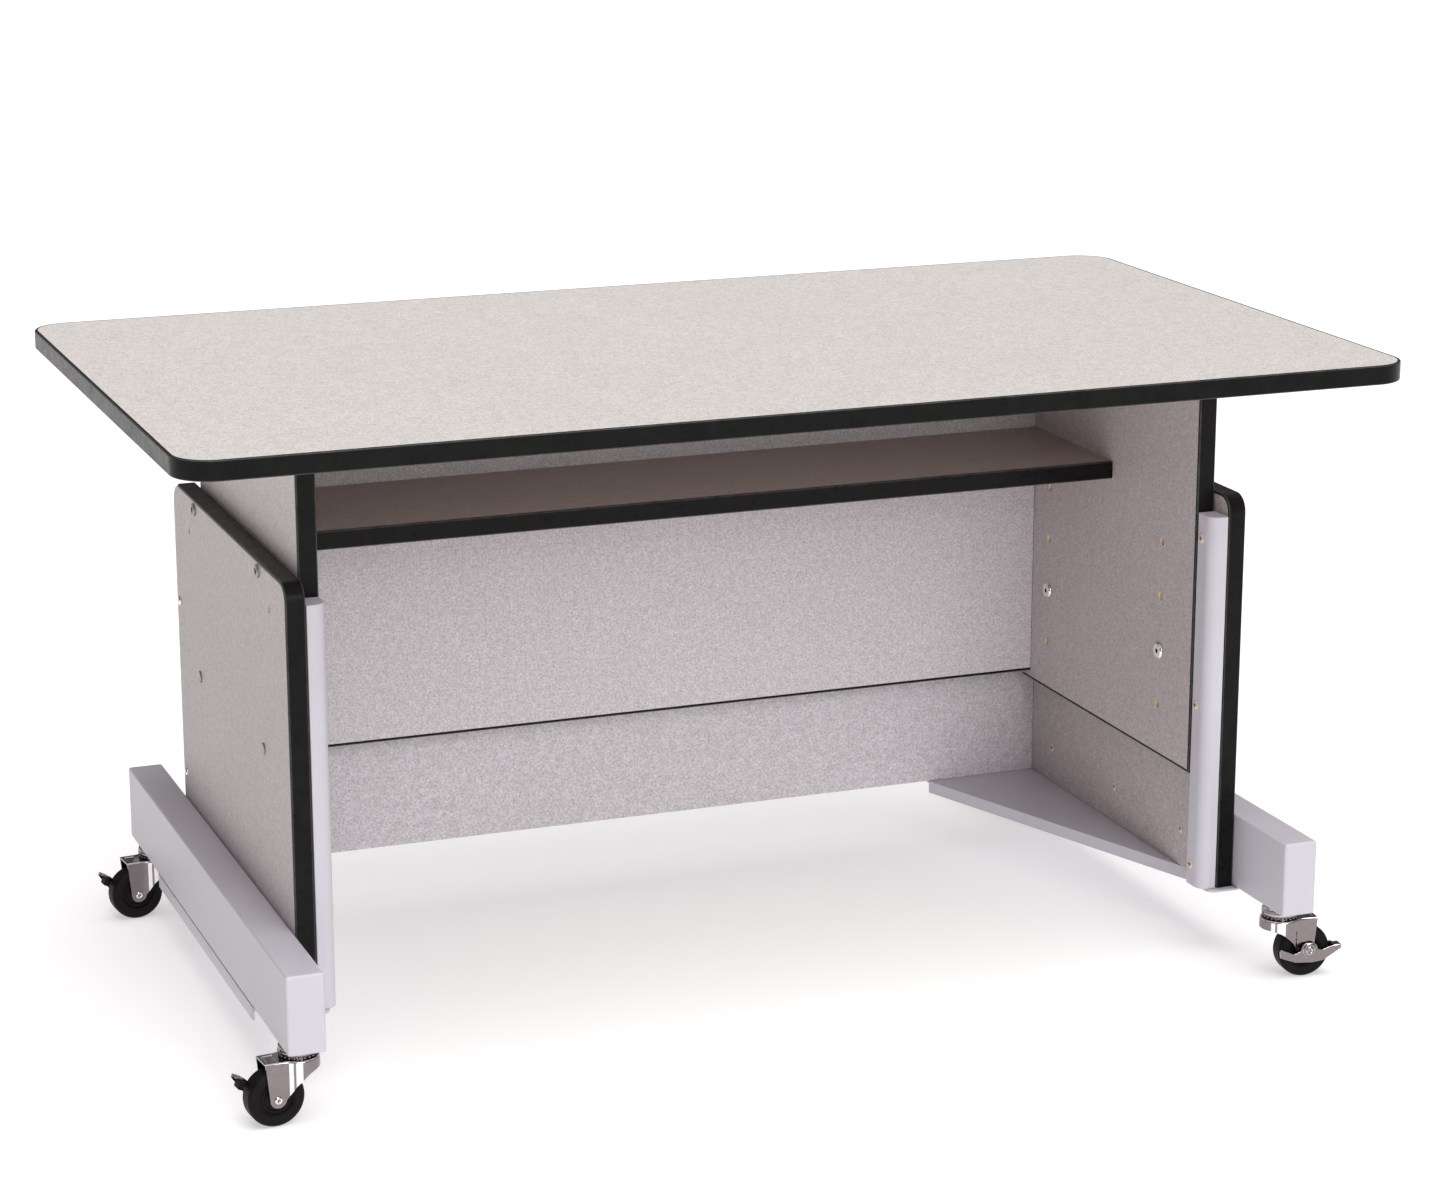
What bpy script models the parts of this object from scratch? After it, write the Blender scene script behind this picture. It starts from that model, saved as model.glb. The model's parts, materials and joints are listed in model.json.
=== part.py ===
"""Height-adjustable teacher desk on four braked casters, as an assembly of separate parts.

Metres, +Z up, +X to the sitter's left-to-right, +Y towards the back panel. The origin is on the floor
under the middle of the top. The upper unit slides in the lower unit; each caster swivels about its
stem, its wheel turns on its axle and its brake lever rocks on a pin in the fork.
"""

import math

import bmesh
import bpy
from mathutils import Matrix, Vector

INCH = 0.0254
MM = 0.001

# Overall size and stock
TOP_WIDTH = 48 * INCH
TOP_DEPTH = 27 * INCH
DESK_HEIGHT = 25 * INCH
BOARD = 0.75 * INCH
BAND = 3 * MM
GAP = 0.3 * MM
SLIDE_CLEARANCE = 1.25 * MM
BAND_ROUNDING = 1.8 * MM

# Upper unit
TOP_CORNER_RADIUS = 38 * MM
UNDERSIDE = DESK_HEIGHT - BOARD
INNER_SIDE_FACE = 452.8 * MM
INNER_FRONT = -201.4 * MM
INNER_BOTTOM = 193.2 * MM
UPPER_BACK_FRONT = 169.2 * MM
UPPER_BACK_BOTTOM = 203.1 * MM
SHELF_TOP = 481.0 * MM
SHELF_FRONT = -15.5 * MM

# Clamp bolts and the rows of holes that they go through
HOLE_PITCH = 57.8 * MM
HOLE_ROW_Y = 130.0 * MM
HOLE_RADIUS = 4.0 * MM
CLAMP_Z = 305.0 * MM
UPPER_BOLT_Z = 478.0 * MM
ROWS_BELOW_CLAMP = 1
ROWS_ABOVE_CLAMP = 2
SPARE_HOLE_Z = 451.0 * MM
SPARE_HOLES_Y = (-168.0 * MM, 157.0 * MM)
SPARE_HOLE_DEPTH = 12.0 * MM

# Lower unit
OUTER_FRONT = -231.0 * MM
OUTER_REAR = 223.2 * MM
OUTER_TOP = 488.5 * MM
OUTER_FRONT_RADIUS = 18.0 * MM
OUTER_REAR_RADIUS = 20.0 * MM
LOWER_BACK_FRONT = 202.0 * MM
LOWER_BACK_TOP = 470.0 * MM
LEG_BOTTOM = 76.5 * MM
LEG_WIDTH = 36.2 * MM
LEG_HEIGHT = 3.03 * INCH
LEG_HALF_LENGTH = 334.5 * MM
LEG_WALL = 2.0 * MM
LEG_ROUNDING = 3.0 * MM
POST_INNER = 453.4 * MM
POST_WIDTH = 0.75 * INCH
POST_DEPTH = 27.6 * MM
POST_FRONT = OUTER_FRONT
POST_TOP = 468.0 * MM
POST_WALL = 2.0 * MM
POST_CORNER_RADIUS = 12.0 * MM

# Corner plates
PLATE_THICKNESS = 2.0 * MM
PLATE_FOLD_DEPTH = 13.2 * MM

# Casters; the local x runs from the stem towards the axle, the brake is on the local -y side
STEM_Y = 297.5 * MM
SWIVEL_REST = math.radians(6)
WHEEL_RADIUS = 27.5 * MM
WHEEL_WIDTH = 21.0 * MM
TRAIL = 24.5 * MM
FORK_TOP = 64.0 * MM
FORK_SHEET = 2.0 * MM
FORK_HALF_WIDTH = 13.4 * MM
FORK_TAIL = 36.0 * MM
FORK_ROUND_RADIUS = 20.5 * MM
FORK_EYE_RADIUS = 7.8 * MM
FORK_APRON_DEPTH = 10.5 * MM
KINGPIN_RADIUS = 5.5 * MM
AXLE_RADIUS = 3.1 * MM
STEM_RADIUS = 4.7 * MM
STEM_LENGTH = 24.0 * MM
CAP_RADIUS = 18.7 * MM
BRAKE_PIN_ABOVE_AXLE = 6.0 * MM
BRAKE_PIN_RADIUS = 2.0 * MM
BRAKE_FACE = 15.6 * MM
BRAKE_SHEET = 1.6 * MM
BRAKE_TRAVEL = math.radians(25)
SHOE_START = WHEEL_RADIUS + 0.35 * MM
RUNNING_GAP = 0.1 * MM
ROUND_STEPS = 20

# Where the pieces meet
INNER_SIDE_OUT = INNER_SIDE_FACE + BOARD
OUTER_IN = INNER_SIDE_OUT + SLIDE_CLEARANCE
OUTER_OUT = OUTER_IN + BOARD
LEG_INNER = OUTER_OUT + GAP
STEM_X = LEG_INNER + LEG_WIDTH / 2
PLATE_TOP = LEG_BOTTOM - GAP
PANEL_BOTTOM = PLATE_TOP + GAP
UPPER_BACK_REAR = UPPER_BACK_FRONT + BOARD

SIDES = (("left", -1), ("right", 1))
CORNERS = (
    ("front_left", -1, -1),
    ("front_right", 1, -1),
    ("rear_left", -1, 1),
    ("rear_right", 1, 1),
)


# ---------------------------------------------------------------- scene and materials

def clear_scene():
    for obj in list(bpy.data.objects):
        bpy.data.objects.remove(obj, do_unlink=True)
    for coll in list(bpy.data.collections):
        bpy.data.collections.remove(coll)


def new_collection(name):
    coll = bpy.data.collections.new(name)
    bpy.context.scene.collection.children.link(coll)
    return coll


def material(name, colour, roughness, metallic=0.0):
    mat = bpy.data.materials.new(name)
    mat.use_nodes = True
    shader = mat.node_tree.nodes["Principled BSDF"]
    shader.inputs["Base Color"].default_value = (*colour, 1.0)
    shader.inputs["Roughness"].default_value = roughness
    shader.inputs["Metallic"].default_value = metallic
    mat.diffuse_color = (*colour, 1.0)
    return mat


def make_materials():
    return {
        "top_laminate": material("top_laminate", (0.70, 0.665, 0.638), 0.45),
        "panel_laminate": material("panel_laminate", (0.40, 0.365, 0.370), 0.50),
        "edge_band": material("edge_band", (0.015, 0.015, 0.014), 0.35),
        "powder_coat": material("powder_coat", (0.60, 0.58, 0.66), 0.40),
        "chrome": material("chrome", (0.62, 0.60, 0.61), 0.15, 1.0),
        "bolt_steel": material("bolt_steel", (0.50, 0.48, 0.47), 0.30, 1.0),
        "rubber": material("rubber", (0.013, 0.008, 0.009), 0.55),
        "hub_plastic": material("hub_plastic", (0.016, 0.012, 0.013), 0.40),
    }


# ---------------------------------------------------------------- outlines

def rounded_outline(corners, steps=6):
    """Points of a closed outline whose corners are (u, v, radius); a radius of 0 is a sharp corner."""
    points = []
    count = len(corners)
    for index, (u, v, radius) in enumerate(corners):
        here = Vector((u, v))
        if radius <= 0:
            points.append((u, v))
            continue
        before = (Vector(corners[index - 1][:2]) - here).normalized()
        after = (Vector(corners[(index + 1) % count][:2]) - here).normalized()
        half = before.angle(after) / 2
        centre = here + (before + after).normalized() * (radius / math.sin(half))
        start = here + before * (radius / math.tan(half)) - centre
        sweep = start.angle_signed(here + after * (radius / math.tan(half)) - centre)
        for step in range(steps + 1):
            turn = -sweep * step / steps
            cosine, sine = math.cos(turn), math.sin(turn)
            points.append((centre.x + start.x * cosine - start.y * sine,
                           centre.y + start.x * sine + start.y * cosine))
    return points


def rectangle(low_u, low_v, high_u, high_v, radius=0.0):
    return [(low_u, low_v, radius), (high_u, low_v, radius), (high_u, high_v, radius), (low_u, high_v, radius)]


# ---------------------------------------------------------------- mesh helpers

FACING = {"x": (math.pi / 2, 0.0, math.pi / 2), "y": (math.pi / 2, 0.0, 0.0), "z": (0.0, 0.0, 0.0)}


def weld(mesh):
    bm = bmesh.new()
    bm.from_mesh(mesh)
    bmesh.ops.remove_doubles(bm, verts=bm.verts, dist=0.01 * MM)
    bmesh.ops.dissolve_limit(bm, angle_limit=math.radians(0.5), verts=bm.verts, edges=bm.edges)
    bmesh.ops.recalc_face_normals(bm, faces=bm.faces)
    bm.to_mesh(mesh)
    bm.free()


def flat_mesh(name, outlines, thickness):
    """A mesh of a 2D curve filled and extruded to a thickness; a second outline is a hole."""
    curve = bpy.data.curves.new(name, "CURVE")
    curve.dimensions = "2D"
    curve.fill_mode = "BOTH"
    curve.extrude = thickness / 2
    for outline in outlines:
        spline = curve.splines.new("POLY")
        spline.points.add(len(outline) - 1)
        for point, (u, v) in zip(spline.points, outline):
            point.co = (u, v, 0.0, 1.0)
        spline.use_cyclic_u = True
    holder = bpy.data.objects.new(name, curve)
    bpy.context.scene.collection.objects.link(holder)
    mesh = bpy.data.meshes.new_from_object(holder.evaluated_get(bpy.context.evaluated_depsgraph_get()))
    bpy.data.objects.remove(holder)
    bpy.data.curves.remove(curve)
    weld(mesh)
    mesh.name = name
    return mesh


def flat_piece(name, outlines, facing, low, high):
    """A flat piece whose outline is in the plane across facing, between low and high along facing."""
    obj = bpy.data.objects.new(name, flat_mesh(name, outlines, high - low))
    bpy.context.scene.collection.objects.link(obj)
    obj.rotation_euler = FACING[facing]
    middle = (low + high) / 2
    if facing == "y":
        obj.location.y = middle
    elif facing == "x":
        obj.location.x = middle
    else:
        obj.location.z = middle
    return obj


def box_piece(name, low, high):
    bm = bmesh.new()
    bmesh.ops.create_cube(bm, size=1.0)
    size = Vector(high) - Vector(low)
    bmesh.ops.scale(bm, vec=size, verts=bm.verts)
    mesh = bpy.data.meshes.new(name)
    bm.to_mesh(mesh)
    bm.free()
    obj = bpy.data.objects.new(name, mesh)
    obj.location = (Vector(low) + Vector(high)) / 2
    bpy.context.scene.collection.objects.link(obj)
    return obj


def round_piece(name, radius, start, end, axis="z", centre=(0.0, 0.0), steps=ROUND_STEPS):
    """A cylinder between start and end along an axis; centre is in the plane across it."""
    bm = bmesh.new()
    bmesh.ops.create_cone(bm, cap_ends=True, segments=steps, radius1=radius, radius2=radius,
                          depth=abs(end - start))
    mesh = bpy.data.meshes.new(name)
    bm.to_mesh(mesh)
    bm.free()
    obj = bpy.data.objects.new(name, mesh)
    middle = (start + end) / 2
    if axis == "x":
        obj.rotation_euler = (0.0, math.pi / 2, 0.0)
        obj.location = (middle, centre[0], centre[1])
    elif axis == "y":
        obj.rotation_euler = (math.pi / 2, 0.0, 0.0)
        obj.location = (centre[0], middle, centre[1])
    else:
        obj.location = (centre[0], centre[1], middle)
    bpy.context.scene.collection.objects.link(obj)
    return obj


def turned_piece(name, profile, closed=False, steps=ROUND_STEPS):
    """A turned shape about Z; profile points (radius, z) run down the outer side."""
    mesh = bpy.data.meshes.new(name)
    edges = [(i, i + 1) for i in range(len(profile) - 1)]
    if closed:
        edges.append((len(profile) - 1, 0))
    mesh.from_pydata([(radius, 0.0, z) for radius, z in profile], edges, [])
    obj = bpy.data.objects.new(name, mesh)
    bpy.context.scene.collection.objects.link(obj)
    screw = obj.modifiers.new("turn", "SCREW")
    screw.axis = "Z"
    screw.steps = steps
    screw.render_steps = steps
    screw.use_merge_vertices = True
    screw.merge_threshold = 0.01 * MM
    return obj


def bevel_edges(obj, width, segments, wanted):
    """Round the edges whose two end points satisfy wanted(a, b), in the mesh's own frame."""
    mesh = obj.data
    weights = mesh.attributes.new("bevel_weight_edge", "FLOAT", "EDGE")
    for edge in mesh.edges:
        first, second = (mesh.vertices[index].co for index in edge.vertices)
        weights.data[edge.index].value = 1.0 if wanted(first, second) else 0.0
    bevel = obj.modifiers.new("round_edges", "BEVEL")
    bevel.limit_method = "WEIGHT"
    bevel.width = width
    bevel.segments = segments


def bevel_all(obj, width, segments):
    bevel = obj.modifiers.new("round_edges", "BEVEL")
    bevel.limit_method = "ANGLE"
    bevel.angle_limit = math.radians(40)
    bevel.width = width
    bevel.segments = segments


def merge_close(obj):
    """Merge points that lie closer together than a tenth of a millimetre."""
    merge = obj.modifiers.new("merge_close", "WELD")
    merge.merge_threshold = 0.1 * MM


def boolean(obj, other, operation, cutters):
    mod = obj.modifiers.new(other.name, "BOOLEAN")
    mod.operation = operation
    mod.solver = "EXACT"
    mod.object = other
    other.hide_render = True
    other.display_type = "WIRE"
    for coll in list(other.users_collection):
        coll.objects.unlink(other)
    cutters.objects.link(other)


def baked_mesh(obj):
    """The evaluated mesh of an object, its placing applied; the object and its cutters are removed."""
    bpy.context.view_layer.update()
    evaluated = obj.evaluated_get(bpy.context.evaluated_depsgraph_get())
    mesh = bpy.data.meshes.new_from_object(evaluated)
    mesh.transform(obj.matrix_world)
    name = obj.name
    used = [mod.object for mod in obj.modifiers if mod.type == "BOOLEAN"]
    for item in [obj] + used:
        bpy.data.objects.remove(item)
    mesh.name = name
    return mesh


def place(obj, parts, mat, parent=None, smooth=False):
    """Put an object among the parts, with its material, its parent and its shading."""
    for coll in list(obj.users_collection):
        coll.objects.unlink(obj)
    parts.objects.link(obj)
    obj.data.materials.clear()
    obj.data.materials.append(mat)
    obj.parent = parent
    if smooth:
        obj.data.shade_smooth()
        obj.data.set_sharp_from_angle(angle=math.radians(35))
    return obj


def joint_empty(name, parts, location, parent=None, turn=0.0):
    empty = bpy.data.objects.new(name, None)
    empty.location = location
    empty.rotation_euler.z = turn
    empty.parent = parent
    empty.empty_display_size = 0.02
    parts.objects.link(empty)
    return empty


# ---------------------------------------------------------------- boards and bands

def long_edge_test(outline, half):
    """True for an edge that lies on the outline's points in one of the two flat faces."""
    keys = {(round(u / MM, 2), round(v / MM, 2)) for u, v in outline}

    def wanted(first, second):
        if abs(first.z - second.z) > 0.1 * MM or abs(abs(first.z) - half) > 0.1 * MM:
            return False
        return all((round(p.x / MM, 2), round(p.y / MM, 2)) in keys for p in (first, second))

    return wanted


def band_piece(name, outlines, exposed, facing, low, high):
    """An edge band: a flat ring or strip whose exposed long edges are rounded."""
    obj = flat_piece(name, outlines, facing, low, high)
    bevel_edges(obj, BAND_ROUNDING, 3, long_edge_test(exposed, (high - low) / 2))
    return obj


def make_tabletop(parts, mats, slide):
    half_w, half_d = TOP_WIDTH / 2, TOP_DEPTH / 2
    inset = BAND + GAP
    outer = rounded_outline(rectangle(-half_w, -half_d, half_w, half_d, TOP_CORNER_RADIUS), 8)
    inner = rounded_outline(rectangle(-half_w + BAND, -half_d + BAND, half_w - BAND, half_d - BAND,
                                      TOP_CORNER_RADIUS - BAND), 8)
    core = rounded_outline(rectangle(-half_w + inset, -half_d + inset, half_w - inset, half_d - inset,
                                     TOP_CORNER_RADIUS - inset), 8)
    board = flat_piece("tabletop", [core], "z", UNDERSIDE, DESK_HEIGHT)
    place(board, parts, mats["top_laminate"], slide)
    band = band_piece("tabletop_edge_band", [outer, inner], outer, "z", UNDERSIDE, DESK_HEIGHT)
    place(band, parts, mats["edge_band"], slide, smooth=True)


def inner_side_holes():
    """(y, z) of the through holes of a sliding side panel."""
    rows = range(-ROWS_BELOW_CLAMP, ROWS_ABOVE_CLAMP + 1)
    return [(y, CLAMP_Z + row * HOLE_PITCH) for y in (-HOLE_ROW_Y, HOLE_ROW_Y) for row in rows]


def drill_x(panel, name, radius, start, end, centres, cutters):
    for number, centre in enumerate(centres):
        drill = round_piece(f"{name}_{number}", radius, start, end, "x", centre, 16)
        boolean(panel, drill, "DIFFERENCE", cutters)


def make_inner_side(side, sign, parts, cutters, mats, slide):
    low, high = sorted((sign * INNER_SIDE_FACE, sign * INNER_SIDE_OUT))
    top = UNDERSIDE - GAP
    inset = BAND + GAP
    core = [(u, v) for u, v, _ in rectangle(INNER_FRONT + inset, INNER_BOTTOM + inset, UPPER_BACK_REAR, top)]
    panel = flat_piece(f"inner_side_panel_{side}", [core], "x", low, high)
    drill_x(panel, f"inner_{side}_drill", HOLE_RADIUS, low - BAND, high + BAND, inner_side_holes(), cutters)
    place(panel, parts, mats["panel_laminate"], slide)
    strip = [
        (INNER_FRONT, INNER_BOTTOM),
        (UPPER_BACK_REAR, INNER_BOTTOM),
        (UPPER_BACK_REAR, INNER_BOTTOM + BAND),
        (INNER_FRONT + BAND, INNER_BOTTOM + BAND),
        (INNER_FRONT + BAND, top),
        (INNER_FRONT, top),
    ]
    exposed = [strip[1], strip[0], strip[5]]
    band = band_piece(f"inner_side_band_{side}", [strip], exposed, "x", low, high)
    place(band, parts, mats["edge_band"], slide, smooth=True)


def make_upper_back(parts, mats, slide):
    half = INNER_SIDE_FACE - GAP
    bottom = UPPER_BACK_BOTTOM
    core = [(u, v) for u, v, _ in rectangle(-half, bottom + BAND + GAP, half, UNDERSIDE - GAP)]
    panel = flat_piece("upper_back_panel", [core], "y", UPPER_BACK_FRONT, UPPER_BACK_REAR)
    place(panel, parts, mats["panel_laminate"], slide)
    strip = [(u, v) for u, v, _ in rectangle(-half, bottom, half, bottom + BAND)]
    band = band_piece("upper_back_band", [strip], strip[:2], "y", UPPER_BACK_FRONT, UPPER_BACK_REAR)
    place(band, parts, mats["edge_band"], slide, smooth=True)


def make_shelf(parts, mats, slide):
    half = INNER_SIDE_FACE - GAP
    bottom = SHELF_TOP - BOARD
    core = [(u, v) for u, v, _ in rectangle(-half, SHELF_FRONT + BAND + GAP, half, UPPER_BACK_FRONT - GAP)]
    board = flat_piece("shelf", [core], "z", bottom, SHELF_TOP)
    place(board, parts, mats["panel_laminate"], slide)
    strip = [(u, v) for u, v, _ in rectangle(-half, SHELF_FRONT, half, SHELF_FRONT + BAND)]
    band = band_piece("shelf_band", [strip], strip[:2], "z", bottom, SHELF_TOP)
    place(band, parts, mats["edge_band"], slide, smooth=True)


def outer_side_outline(inset):
    """Outline (y, z) of an outer side panel, drawn in from its front and top by inset."""
    return rounded_outline([
        (OUTER_FRONT + inset, PANEL_BOTTOM, 0.0),
        (OUTER_REAR, PANEL_BOTTOM, 0.0),
        (OUTER_REAR, OUTER_TOP - inset, OUTER_REAR_RADIUS),
        (OUTER_FRONT + inset, OUTER_TOP - inset, OUTER_FRONT_RADIUS - inset),
    ], 8)


def band_strip_outline(inset):
    """The front and top run of that outline, up to the start of the rear corner's rounding."""
    end = OUTER_REAR - OUTER_REAR_RADIUS
    arc = rounded_outline([
        (OUTER_FRONT + inset, PANEL_BOTTOM, 0.0),
        (OUTER_REAR, PANEL_BOTTOM, 0.0),
        (OUTER_REAR, OUTER_TOP - inset, 0.0),
        (OUTER_FRONT + inset, OUTER_TOP - inset, OUTER_FRONT_RADIUS - inset),
    ], 8)[3:]
    return [(end, OUTER_TOP - inset)] + arc + [(OUTER_FRONT + inset, PANEL_BOTTOM)]


def make_outer_side(side, sign, parts, cutters, mats):
    low, high = sorted((sign * OUTER_IN, sign * OUTER_OUT))
    panel = flat_piece(f"outer_side_panel_{side}", [outer_side_outline(BAND + GAP)], "x", low, high)
    through = [(y, z) for y in (-HOLE_ROW_Y, HOLE_ROW_Y) for z in (CLAMP_Z, UPPER_BOLT_Z)]
    drill_x(panel, f"outer_{side}_drill", HOLE_RADIUS, low - BAND, high + BAND, through, cutters)
    blind_start = sign * (OUTER_OUT - SPARE_HOLE_DEPTH)
    blind_end = sign * (OUTER_OUT + BAND)
    spare = [(y, SPARE_HOLE_Z) for y in SPARE_HOLES_Y]
    drill_x(panel, f"outer_{side}_spare", HOLE_RADIUS, blind_start, blind_end, spare, cutters)
    place(panel, parts, mats["panel_laminate"])
    outside = band_strip_outline(0.0)
    strip = outside + list(reversed(band_strip_outline(BAND)))
    band = band_piece(f"outer_side_band_{side}", [strip], outside, "x", low, high)
    place(band, parts, mats["edge_band"], smooth=True)


def make_lower_back(parts, mats):
    half = OUTER_IN - GAP
    core = [(u, v) for u, v, _ in rectangle(-half, PANEL_BOTTOM, half, LOWER_BACK_TOP)]
    panel = flat_piece("lower_back_panel", [core], "y", LOWER_BACK_FRONT, LOWER_BACK_FRONT + BOARD)
    place(panel, parts, mats["panel_laminate"])


# ---------------------------------------------------------------- steel frame

def make_post(side, sign, parts, cutters, mats):
    """A post of rectangular tube with a closed top; its front inner corner is well rounded."""
    rear = POST_FRONT + POST_DEPTH
    outside = POST_INNER + POST_WIDTH
    corners = [(POST_INNER, rear, 1 * MM), (POST_INNER, POST_FRONT, POST_CORNER_RADIUS),
               (outside, POST_FRONT, 1 * MM), (outside, rear, 1 * MM)]
    wall = POST_WALL
    hollow = [
        (POST_INNER + wall, rear - wall, 0.0),
        (POST_INNER + wall, POST_FRONT + wall, POST_CORNER_RADIUS - wall),
        (outside - wall, POST_FRONT + wall, 0.0),
        (outside - wall, rear - wall, 0.0),
    ]
    mirrored = [[(sign * u, v) for u, v in rounded_outline(c, 4)] for c in (corners, hollow)]
    post = flat_piece(f"front_post_{side}", [mirrored[0]], "z", PANEL_BOTTOM, POST_TOP)
    bore = flat_piece(f"front_post_{side}_bore", [mirrored[1]], "z", PANEL_BOTTOM - BAND, POST_TOP - wall)
    boolean(post, bore, "DIFFERENCE", cutters)
    place(post, parts, mats["powder_coat"], smooth=True)


def make_leg(side, sign, parts, cutters, mats):
    """A leg of rectangular tube with welded ends, open only where the caster stems go in."""
    low, high = sorted((sign * LEG_INNER, sign * (LEG_INNER + LEG_WIDTH)))
    top = LEG_BOTTOM + LEG_HEIGHT
    leg = box_piece(f"leg_tube_{side}", (low, -LEG_HALF_LENGTH, LEG_BOTTOM), (high, LEG_HALF_LENGTH, top))
    bevel_all(leg, LEG_ROUNDING, 3)
    wall = LEG_WALL
    hollow = box_piece(f"leg_tube_{side}_hollow", (low + wall, -LEG_HALF_LENGTH + wall, LEG_BOTTOM + wall),
                       (high - wall, LEG_HALF_LENGTH - wall, top - wall))
    boolean(leg, hollow, "DIFFERENCE", cutters)
    for end in (-1, 1):
        drill = round_piece(f"leg_tube_{side}_stem_hole_{end}", STEM_RADIUS + GAP, LEG_BOTTOM - BAND,
                            LEG_BOTTOM + 2 * wall, "z", (sign * STEM_X, end * STEM_Y), 16)
        boolean(leg, drill, "DIFFERENCE", cutters)
    place(leg, parts, mats["powder_coat"], smooth=True)


def corner_plate_corners():
    """Plan of the right corner plate: (x, y, radius), from the rear inner tip round by the front."""
    tip_x, rear_y = 341.0 * MM, 213.5 * MM
    bend_x, bend_y = 475.5 * MM, -162.0 * MM
    tab_inner, tab_outer, tab_front = 461.5 * MM, 498.5 * MM, -238.0 * MM
    outside = LEG_INNER + LEG_WIDTH
    return [
        (tip_x, rear_y, 9 * MM),
        (bend_x, bend_y, 0.0),
        (tab_inner, -192.0 * MM, 0.0),
        (tab_inner, tab_front, 10 * MM),
        (tab_outer, tab_front, 5 * MM),
        (tab_outer, -rear_y, 0.0),
        (outside, -rear_y, 13 * MM),
        (outside, rear_y, 13 * MM),
    ]


def fold_down(bm, depth, wanted):
    """Extrude the boundary edges whose two ends satisfy wanted down by depth."""
    edges = [e for e in bm.edges if e.is_boundary and all(wanted(v.co) for v in e.verts)]
    grown = bmesh.ops.extrude_edge_only(bm, edges=edges)["geom"]
    fresh = [item for item in grown if isinstance(item, bmesh.types.BMVert)]
    bmesh.ops.translate(bm, vec=(0.0, 0.0, -depth), verts=fresh)


def right_plate_mesh():
    """The right corner plate: one sheet, folded down along its slanting and outer edges."""
    corners = corner_plate_corners()
    sheet = flat_mesh("corner_plate", [rounded_outline(corners, 5)], 0.0)
    tip, bend = Vector(corners[0][:2]), Vector(corners[1][:2])
    across = (bend - tip).orthogonal().normalized()

    def on_slant(co):
        near_line = abs((co.xy - tip).dot(across)) < 0.5 * MM
        return near_line and bend.y - MM < co.y < tip.y

    def on_lip(co):
        return co.x > corners[6][0] - 0.5 * MM

    bm = bmesh.new()
    bm.from_mesh(sheet)
    fold_down(bm, PLATE_FOLD_DEPTH, on_slant)
    fold_down(bm, PLATE_FOLD_DEPTH, on_lip)
    bmesh.ops.recalc_face_normals(bm, faces=bm.faces)
    if max(bm.faces, key=lambda f: f.calc_area()).normal.z < 0:
        bmesh.ops.reverse_faces(bm, faces=bm.faces)
    bm.to_mesh(sheet)
    bm.free()
    plate = bpy.data.objects.new("corner_plate", sheet)
    bpy.context.scene.collection.objects.link(plate)
    plate.location.z = PLATE_TOP
    solid = plate.modifiers.new("sheet", "SOLIDIFY")
    solid.thickness = PLATE_THICKNESS
    solid.offset = -1.0
    solid.use_even_offset = True
    merge_close(plate)
    plate.modifiers.new("flat_faces", "TRIANGULATE")
    return baked_mesh(plate)


def make_corner_plate(side, sign, parts, mats):
    """A pressed plate under the panels and the leg; the left one is the right one's mirror image."""
    mesh = right_plate_mesh()
    if sign < 0:
        mesh.transform(Matrix.Scale(-1.0, 4, (1.0, 0.0, 0.0)))
        mesh.flip_normals()
    plate = bpy.data.objects.new(f"corner_plate_{side}", mesh)
    place(plate, parts, mats["powder_coat"], smooth=True)


# ---------------------------------------------------------------- bolts

def bolt_blank(name, head_radius, head_height, shank_radius, shank_length):
    """A bolt along Z: the head above z = 0, the shank below it."""
    chamfer = head_height * 0.35
    profile = [
        (0.0, head_height),
        (head_radius - chamfer, head_height),
        (head_radius, head_height - chamfer),
        (head_radius, 0.0),
        (shank_radius, 0.0),
        (shank_radius, -shank_length),
        (0.0, -shank_length),
    ]
    return turned_piece(name, profile, steps=16)


def socket_bolt_mesh(name, head_radius, head_height, shank_length, socket_radius, cutters):
    bolt = bolt_blank(name, head_radius, head_height, HOLE_RADIUS - RUNNING_GAP, shank_length)
    socket = round_piece(f"{name}_socket", socket_radius, head_height * 0.2, head_height * 2, "z", steps=6)
    boolean(bolt, socket, "DIFFERENCE", cutters)
    return baked_mesh(bolt)


def make_bolts(parts, cutters, mats, slide):
    head_in = socket_bolt_mesh("clamp_bolt", 8.75 * MM, 2.6 * MM, BOARD - MM, 2.9 * MM, cutters)
    head_out = socket_bolt_mesh("upper_bolt", 6.6 * MM, 2.2 * MM, BOARD - MM, 2.9 * MM, cutters)
    nut = baked_mesh(bolt_blank("cap_nut", 6.0 * MM, 1.2 * MM, HOLE_RADIUS - RUNNING_GAP, BOARD - MM))
    for corner, sign_x, sign_y in CORNERS:
        y = sign_y * HOLE_ROW_Y
        inward = -sign_x * math.pi / 2
        clamp = bpy.data.objects.new(f"clamp_bolt_{corner}", head_in)
        clamp.location = (sign_x * (INNER_SIDE_FACE - GAP), y, CLAMP_Z)
        clamp.rotation_euler.y = inward
        place(clamp, parts, mats["bolt_steel"], slide, smooth=True)
        for name, mesh, z in (("cap_nut", nut, CLAMP_Z), ("upper_bolt", head_out, UPPER_BOLT_Z)):
            bolt = bpy.data.objects.new(f"{name}_{corner}", mesh)
            bolt.location = (sign_x * (OUTER_OUT + GAP), y, z)
            bolt.rotation_euler.y = -inward
            place(bolt, parts, mats["bolt_steel"], smooth=True)


# ---------------------------------------------------------------- casters

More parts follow.
